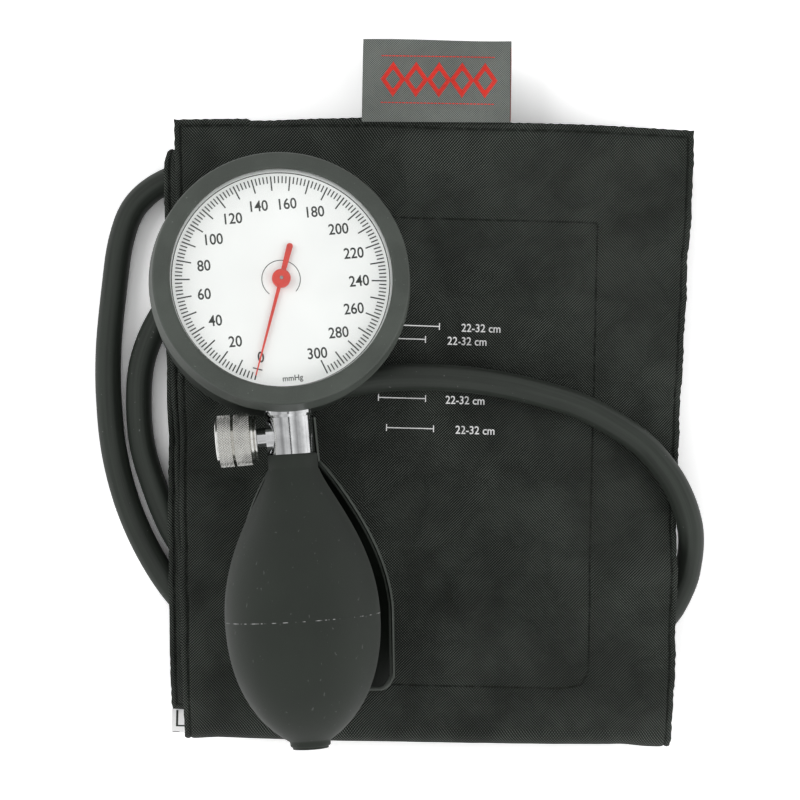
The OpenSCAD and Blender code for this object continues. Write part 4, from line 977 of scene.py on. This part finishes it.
def on_cuff(part):
    """Lays a flat mesh in table millimetres just over the top panel's outer skin."""
    points, faces = np.asarray(part[0], float), part[1]
    px, py = points[:, 0] - SHIFT[0], points[:, 1] - SHIFT[1]
    x = px * cos(TURN) + py * sin(TURN)
    y = -px * sin(TURN) + py * cos(TURN)
    middle, _ = cloth_middle(TOP_EDGE - y, x)
    z = middle[:, 2] + half_thickness(TOP_EDGE - y, x, 1) + 0.05 + points[:, 2]
    return np.stack([points[:, 0], points[:, 1], z], 1), faces


def from_photo(px, py):
    """Where a place in the photograph is at the height of the cuff's printing."""
    k = (CAMERA_AT[2] - PRINT_Z) / FOCAL
    return (px - IMAGE / 2) * k + CAMERA_AT[0], (IMAGE / 2 - py) * k + CAMERA_AT[1]


# The printing on the cuff: sizes, and lines that show a range
PRINT_Z, PRINT_TURN, RANGE_HALF = 15.2, -1.6, 6.5
lines = []
for px, py in ((481, 328), (467, 341), (465, 400), (475, 430)):
    text = text_mesh("22-32 cm", 2.3, 0.92, 0.03)
    lines.append(on_cuff(moved(text, *from_photo(px, py), PRINT_TURN)))
for px, py in ((416, 326), (402, 339), (402, 398), (410, 428)):
    sign = [bar(a, a + 1.0, 0.3) for a in np.arange(-RANGE_HALF, RANGE_HALF - 0.5, 1.0)]
    sign += [moved(bar(-0.15, 0.15, 1.9), x) for x in (-RANGE_HALF, RANGE_HALF)]
    lines += [on_cuff(moved(s, *from_photo(px, py), PRINT_TURN)) for s in sign]
add_mesh("cuff_print", join(lines), "print_white", sharp=30)

# ---- gauge

RING_R, WINDOW_R, SKIRT_Z, LIP_Z = 34.1, 30.0, 6.5, 14.0
ring_profile = rounded([(33.1, SKIRT_Z), (RING_R, SKIRT_Z), (RING_R, LIP_Z), (WINDOW_R, LIP_Z),
                        (WINDOW_R, 13), (33.1, 13)], [0, 0.25, 1.0, 0.35, 0, 0], 10)
add_mesh("front_ring", lathe(ring_profile, 192), "ring_grey", inside=GAUGE,
         replaces=["bezel_ring"])


LENS_R = 29.5


def dome(r, base, rise):
    """The lens's height at r: a ball's cap that rises this much over its base."""
    ball = (LENS_R * LENS_R + rise * rise) / (2 * rise)
    return base + rise - ball + sqrt(ball * ball - r * r)


inner = [(r, dome(r, 12, 2.6)) for r in np.linspace(0, LENS_R, 40)]
outer = [(r, dome(r, 13, 2.7)) for r in np.linspace(LENS_R, 0, 40)]
add_mesh("lens_front", lathe(inner + [(31.9, 12), (31.9, 13)] + outer, 160, closed=False),
         "lens_clear", inside=GAUGE, replaces=["lens"])

# ---- bulb

BULB_LEN, BULB_R, BULB_WALL, COLLAR_R = 77.8, 20.7, 2.5, 6.55


def bezier(a, b, c, d, n):
    return [tuple(sum(w * q[k] for w, q in zip(
        ((1 - t)**3, 3 * t * (1 - t)**2, 3 * t * t * (1 - t), t**3), (a, b, c, d))) for k in (0, 1))
        for t in (i / n for i in range(n + 1))]


equator = BULB_LEN * 0.559
swell = bezier((COLLAR_R + 0.4, 4.5), (COLLAR_R + 3.05, 12), (BULB_R, 25), (BULB_R, equator), 40)
swell += bezier((BULB_R, equator), (BULB_R, equator + 14.5), (16, BULB_LEN - 8.1),
                (5.5, BULB_LEN - 1.4), 40)[1:]
ridge = [(r + 0.07 * exp(-((z - PARTING_Z) / 0.16) ** 2), z) for r, z in swell]
extra = [(BULB_R * 0.9999 + 0.07 * exp(-((z - PARTING_Z) / 0.16) ** 2), z)
         for z in np.arange(PARTING_Z - 0.4, PARTING_Z + 0.41, 0.1)]
ridge = sorted([p for p in ridge if abs(p[1] - PARTING_Z) > 0.45 or p[0] < 15] + extra,
               key=lambda p: p[1])
collar = [(4.8, 0.0), (COLLAR_R - 0.45, 0.0), (COLLAR_R - 0.13, 0.13), (COLLAR_R, 0.45),
          (COLLAR_R + 0.02, 3.4), (COLLAR_R + 0.12, 4.0)]
tail = [(5.42, BULB_LEN - 1.0), (5.4, BULB_LEN - 0.25), (5.15, BULB_LEN), (3.6, BULB_LEN)]
cavity = [(r - BULB_WALL, z) for r, z in swell if r - BULB_WALL > 5.0]
hollow = [(3.6, cavity[-1][1] + 1)] + cavity[::-1] + [(4.8, cavity[0][1])]
bulb = add_mesh("bulb_skin", lathe(collar + ridge + tail + hollow, 144), "bulb_rubber",
                inside=BULB, replaces=["bulb"])

# ---- release knob with its diamond knurl

KNOB_FROM, KNOB_R = 10.4, 7.0
TEETH, KNURL, GROOVE_R = 60, 0.17, 6.1
# Turned skirt round the bonnet, then the two knurled bands and the outer rim
knob_profile = [(0, -0.6), (3.95, -0.6), (3.95, -1.6), (4.1, -1.65), (5.6, -1.65), (5.9, -1.5),
                (5.9, -1.15), (5.3, -1.05), (5.3, -0.72), (5.9, -0.62), (5.9, -0.12),
                (6.1, -0.02)]
for low, high in ((0.12, 4.45), (5.05, 8.65)):
    knob_profile += [(GROOVE_R, low - 0.02), (6.75, low)]
    knob_profile += [(KNOB_R, z) for z in np.linspace(low + 0.06, high - 0.06, 46)]
    knob_profile += [(6.75, high), (GROOVE_R, high + 0.02)]
knob_profile += [(5.8, 8.75), (5.8, 9.2), (5.6, 9.38), (5.1, 9.4), (4.95, 9.25), (4.95, 8.9),
                 (0, 8.9)]
points, faces = lathe(knob_profile, TEETH * 8, closed=False)
points = np.array(points)
z = points[:, 2]
radius = np.hypot(points[:, 0], points[:, 1])
angle = np.arctan2(points[:, 1], points[:, 0])
pitch = 2 * pi * KNOB_R / TEETH


def saw(v):
    return np.abs((v % 1) * 2 - 1)


turns = angle / (2 * pi) * TEETH
crest = np.minimum(1, np.minimum(saw(turns + z / pitch), saw(turns - z / pitch)) * 1.5)
banded = radius > 6.9
radius = np.where(banded, radius - KNURL * (1 - crest), radius)
points[:, 0], points[:, 1] = radius * np.cos(angle), radius * np.sin(angle)
in_groove = (radius < 6.3) & (z > -0.05) & (z < 8.7)
# Painted light and shade for the chrome: crests lighter, the grooves between the bands darkest (0),
# faces nearer the axis than 5.4 mm dark (0.1), other plain faces light (0.8)
plain = np.where(in_groove, 0.0, np.where(radius < 5.4, 0.1, 0.8))
knurl_painted_light = np.where(banded, crest, plain)
add_mesh("knob_knurled", (points, faces), "knurled_chrome",
         RELEASE @ Matrix.Translation((0, 0, KNOB_FROM)), body="release_knob", sharp=25,
         replaces=["release_knob"], relief=np.stack([knurl_painted_light] * 3, 1))

# ---- sleeve over the neck's seal

sleeve = [(6.05, 1.25), (6.16, 1.2), (6.48, 0.5), (6.48, -2.2), (6.4, -2.3), (6.12, -2.3)]
add_mesh("neck_sleeve", lathe(sleeve, 96), "chrome",
         inside=NECK @ Matrix.Rotation(radians(90), 4, "X"), sharp=15)

# ---- spoon's rolled rim, pointer's pin

SPOON_END = 77.8


def spoon_height(a, x):
    """Height of the spoon's middle surface at a along the neck and x to the side."""
    reach = 7.35 + (26 - 7.35) * float(smooth((a - 5.9) / 45.9)) + 4 - 0.6
    return 4 - sqrt(reach * reach - x * x)


half = [(1.9, 6.0)] + bezier((13.8, 6), (20.8, 12), (38.8, 21.5), (55.3, 21.5), 30)
half += [(72.2 + 5.6 * cos(radians(q)), 14.6 + 5.6 * sin(radians(q)))
         for q in np.linspace(80, 0, 9)]
half += [(SPOON_END, x) for x in (10, 5)]
edge = [(x - 0.3, -min(a, SPOON_END - 0.4), spoon_height(a, x - 0.3)) for a, x in half]
edge += [(0, 0.4 - SPOON_END, spoon_height(SPOON_END, 0))]
edge += [(-x, y, z) for x, y, z in edge[-2::-1]]
# The rim bead wears the lighter copy of the spoon's black: a painted highlight along its upper edge
add_mesh("spoon_rim", tube(smooth_path(edge, 3), 0.78, 12)[:2], "rim_painted_highlight", SPOON)

PIN_SIDES = 24
pin = lathe([(0.5, 0), (0.5, 0.1), (0.38, 0.2), (0.15, 0.24), (0, 0.25)], PIN_SIDES, closed=False)
pin[1].append(tuple(range(PIN_SIDES)))
add_mesh("hub_pin", pin, "steel", GAUGE @ Matrix.Translation((0, 0, 13.19)),
         body="pointer")

# ---- tag and care label

TAG_W, TAG_LEN = 41.4, 23.2
TAG_Z, TAG_DROP = 14.5, 2.6
tag_corner = to_table(-12, TOP_EDGE + TOP_BOW + 0.1)
TAG = place((tag_corner[0], tag_corner[1], 0), (0, 0, degrees(TURN)))


def tag_height(x, run):
    """Height of the tag's under face at x across it, run being the share of its length."""
    return TAG_Z - TAG_DROP * run**2 + 0.18 * np.sin(run * 5 + x * 0.14) * run


def tag_side(x):
    """The ribbon's line at a place across it: up along the lower layer, round, and back above."""
    lean = 0.012 * (x - TAG_W / 2)
    reach = TAG_LEN - 0.5 + 0.25 * sin(x * 0.11 + 1)
    run = np.linspace(0, 1, 22)
    z = tag_height(x, run)
    low = [(s * reach + lean, h + 0.17) for s, h in zip(run, z)]
    end = z[-1] + 0.5
    turned = [(reach + lean + 0.33 * sin(a), end - 0.33 * cos(a))
              for a in np.linspace(0, pi, 9)[1:-1]]
    high = [(s * reach + lean, h + 0.83) for s, h in zip(run[::-1], z[::-1])]
    return low + turned + high


def ribbon(side_line, width, count, half):
    """A strip of cloth: a line in (y, z) swept across x, thickened by half on both sides."""
    xs = np.linspace(0, width, count)
    points, local = [], []
    for layer in (half, -half):
        for x in xs:
            line = np.array(side_line(x))
            along = unit(np.gradient(line, axis=0))
            normal = np.stack([along[:, 1], -along[:, 0]], 1)
            for (y, z), s in zip(line + normal * layer, lengths(line)):
                points.append((x, y, z))
                local.append((x, s, layer * 3))
    return points, closed_sheet(count, len(side_line(0))), local


tag = add_mesh("woven_tag", ribbon(tag_side, TAG_W, 60, 0.15), "tag_grey", inside=TAG,
               replaces=["woven_label"], sharp=70)


def tag_thread(x, a, b, radius, sink, under):
    """A thread on the tag's upper face, from a to b, at the face's height at x."""
    z = tag_height(x, a[1] / TAG_LEN) + 1.0 - under
    return capsule((*a, z), (*b, z), (0, 0, 1), radius, sink)


# A woven row of lozenges, thread by thread, between two lines of stitches
threads = []
ROW_Y, HALF_X, HALF_Y = 11.8, 3.5, 5.0
for cx in (8.5, 14.9, 21.3, 27.7, 34.1):
    for k in range(-14, 15):
        y = k * 0.34
        outer_x = HALF_X * (1 - abs(y) / HALF_Y)
        inner_x = HALF_X * (0.56 - abs(y) / HALF_Y) if abs(y) < HALF_Y * 0.56 else 0
        spans = [(-outer_x, -inner_x), (inner_x, outer_x)]
        if inner_x <= 0.1:
            spans = [(-outer_x, outer_x)]
        threads += [tag_thread(cx, (cx + a, ROW_Y + y), (cx + b, ROW_Y + y), 0.14, 0.3, 0.02)
                    for a, b in spans if b - a >= 0.3]
for y in (ROW_Y - 6.6, ROW_Y + 6.6):
    for x in (5.2 + k * 0.99 for k in range(32)):
        threads.append(tag_thread(x, (x, y), (x + 0.8, y), 0.13, 0.3, 0.02))
tag_threads = add_mesh("tag_threads", join(threads), "thread_red", TAG)

# The dark red selvedge along the tag's right edge
edge_x = TAG_W - 0.12
selvedge = [tag_thread(TAG_W, (edge_x, y), (edge_x, y + 0.45), 0.12, 0.2, 0.06)
            for y in (0.6 + k * 0.52 for k in range(40))]
tag_selvedge = add_mesh("tag_selvedge", join(selvedge), "selvedge_red", TAG)

CARE_W, CARE_LEN = 24.0, 6.8
care_x = left_low(LOW_EDGE) - 0.4
care_corner = to_table(care_x, LOW_EDGE)
CARE = place((care_corner[0], care_corner[1] - CARE_LEN - 0.1, 0), (0, 0, degrees(TURN)))


def care_wave(x, run):
    return 0.12 * np.sin(run * 4 + x * 0.3)


def care_side(x):
    return [(s * CARE_LEN, 1.5 + care_wave(x, s)) for s in np.linspace(0, 1, 9)]


add_mesh("care_label_strip", ribbon(care_side, CARE_W, 30, 0.14), "care_white", inside=CARE,
         replaces=["care_label"], sharp=70)
points, faces = join([moved(bar(0, 20, 0.4), 1.4, 2.0), moved(bar(0, 4.6, 0.6, 90), 1.5, 1.8),
                      moved(bar(0, 20, 0.16), 0.3, 0.3)])
points = np.array(points)
points[:, 2] += 1.68 + care_wave(points[:, 0], points[:, 1] / CARE_LEN)
add_mesh("care_print", (points, faces), "ink_black", CARE, sharp=30)

# ---- floor and world

PAINT, CLIPPED = 0.88, 1.5  # the floor's colour for light that falls on it, and for the camera
paint = Shader("floor_white")
seen = paint.math("MAXIMUM", *paint.rays("Camera", "Transmission"))
paint.surface(paint.node("BsdfDiffuse", {"Color": paint.blend(seen, PAINT, CLIPPED)}))
mesh = bpy.data.meshes.new("floor")
mesh.from_pydata([(-3, -3, 0), (3, -3, 0), (3, 3, 0), (-3, 3, 0)], [], [(0, 1, 2, 3)])
mesh.materials.append(LOOKS["floor_white"])
show("floor", mesh)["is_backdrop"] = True

PLAIN = 0.62
world = bpy.data.worlds.new("world")
bpy.context.scene.world = world
world.use_nodes = True
sky = Nodes(world.node_tree)
seen, through, glossy = sky.rays("Camera", "Transmission", "Glossy")
toward = sky.node("TexCoord", {}, "Generated")
x, _, z = sky.split(toward)
# Gloss shows a tent of paler and darker panels from left to right, with a gap for the camera.
# x / sqrt(2 (1 + z)) is the sideways lean of the face that mirrors this direction straight up
lean = sky.math("SQRT", sky.math("MULTIPLY", sky.math("ADD", z, 1.0), 2.0))
lean = sky.node("MapRange", {0: sky.math("DIVIDE", x, lean), 1: -1.0, 2: 1.0})
panels = sky.node("ValToRGB", {"Fac": lean})
stops = panels.node.color_ramp.elements
while len(stops) > 1:
    stops.remove(stops[-1])
for at, shade in ((0.0, 0.6), (0.26, 0.6), (0.325, 0.28), (0.385, 0.66), (0.5, 0.66),
                  (0.54, 1.0), (0.6, 0.58), (0.65, 0.32), (0.73, 0.68), (0.86, 1.0)):
    stop = stops[0] if at == 0.0 else stops.new(at)
    stop.position = at
    stop.color = (shade, shade, shade, 1)
streaks = sky.noise(toward, 3.2, 1.0, 0.5)
streaks = sky.node("MapRange", {0: streaks, 1: 0.35, 2: 0.65, 3: 0.84, 4: 1.12})
gap = sky.window(z, 0.9978, 0.9988, 1.0, 0.03)
shown = sky.math("MULTIPLY", sky.math("MULTIPLY", panels, streaks), gap)
level = sky.blend(sky.math("MAXIMUM", seen, through), sky.blend(glossy, PLAIN, shown), 1.0)
back = sky.tree.nodes["Background"]
sky.put(back.inputs["Strength"], level)
sky.put(back.inputs["Color"], (1, 1, 1))

bpy.context.scene.view_settings.view_transform = "Standard"

low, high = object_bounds()
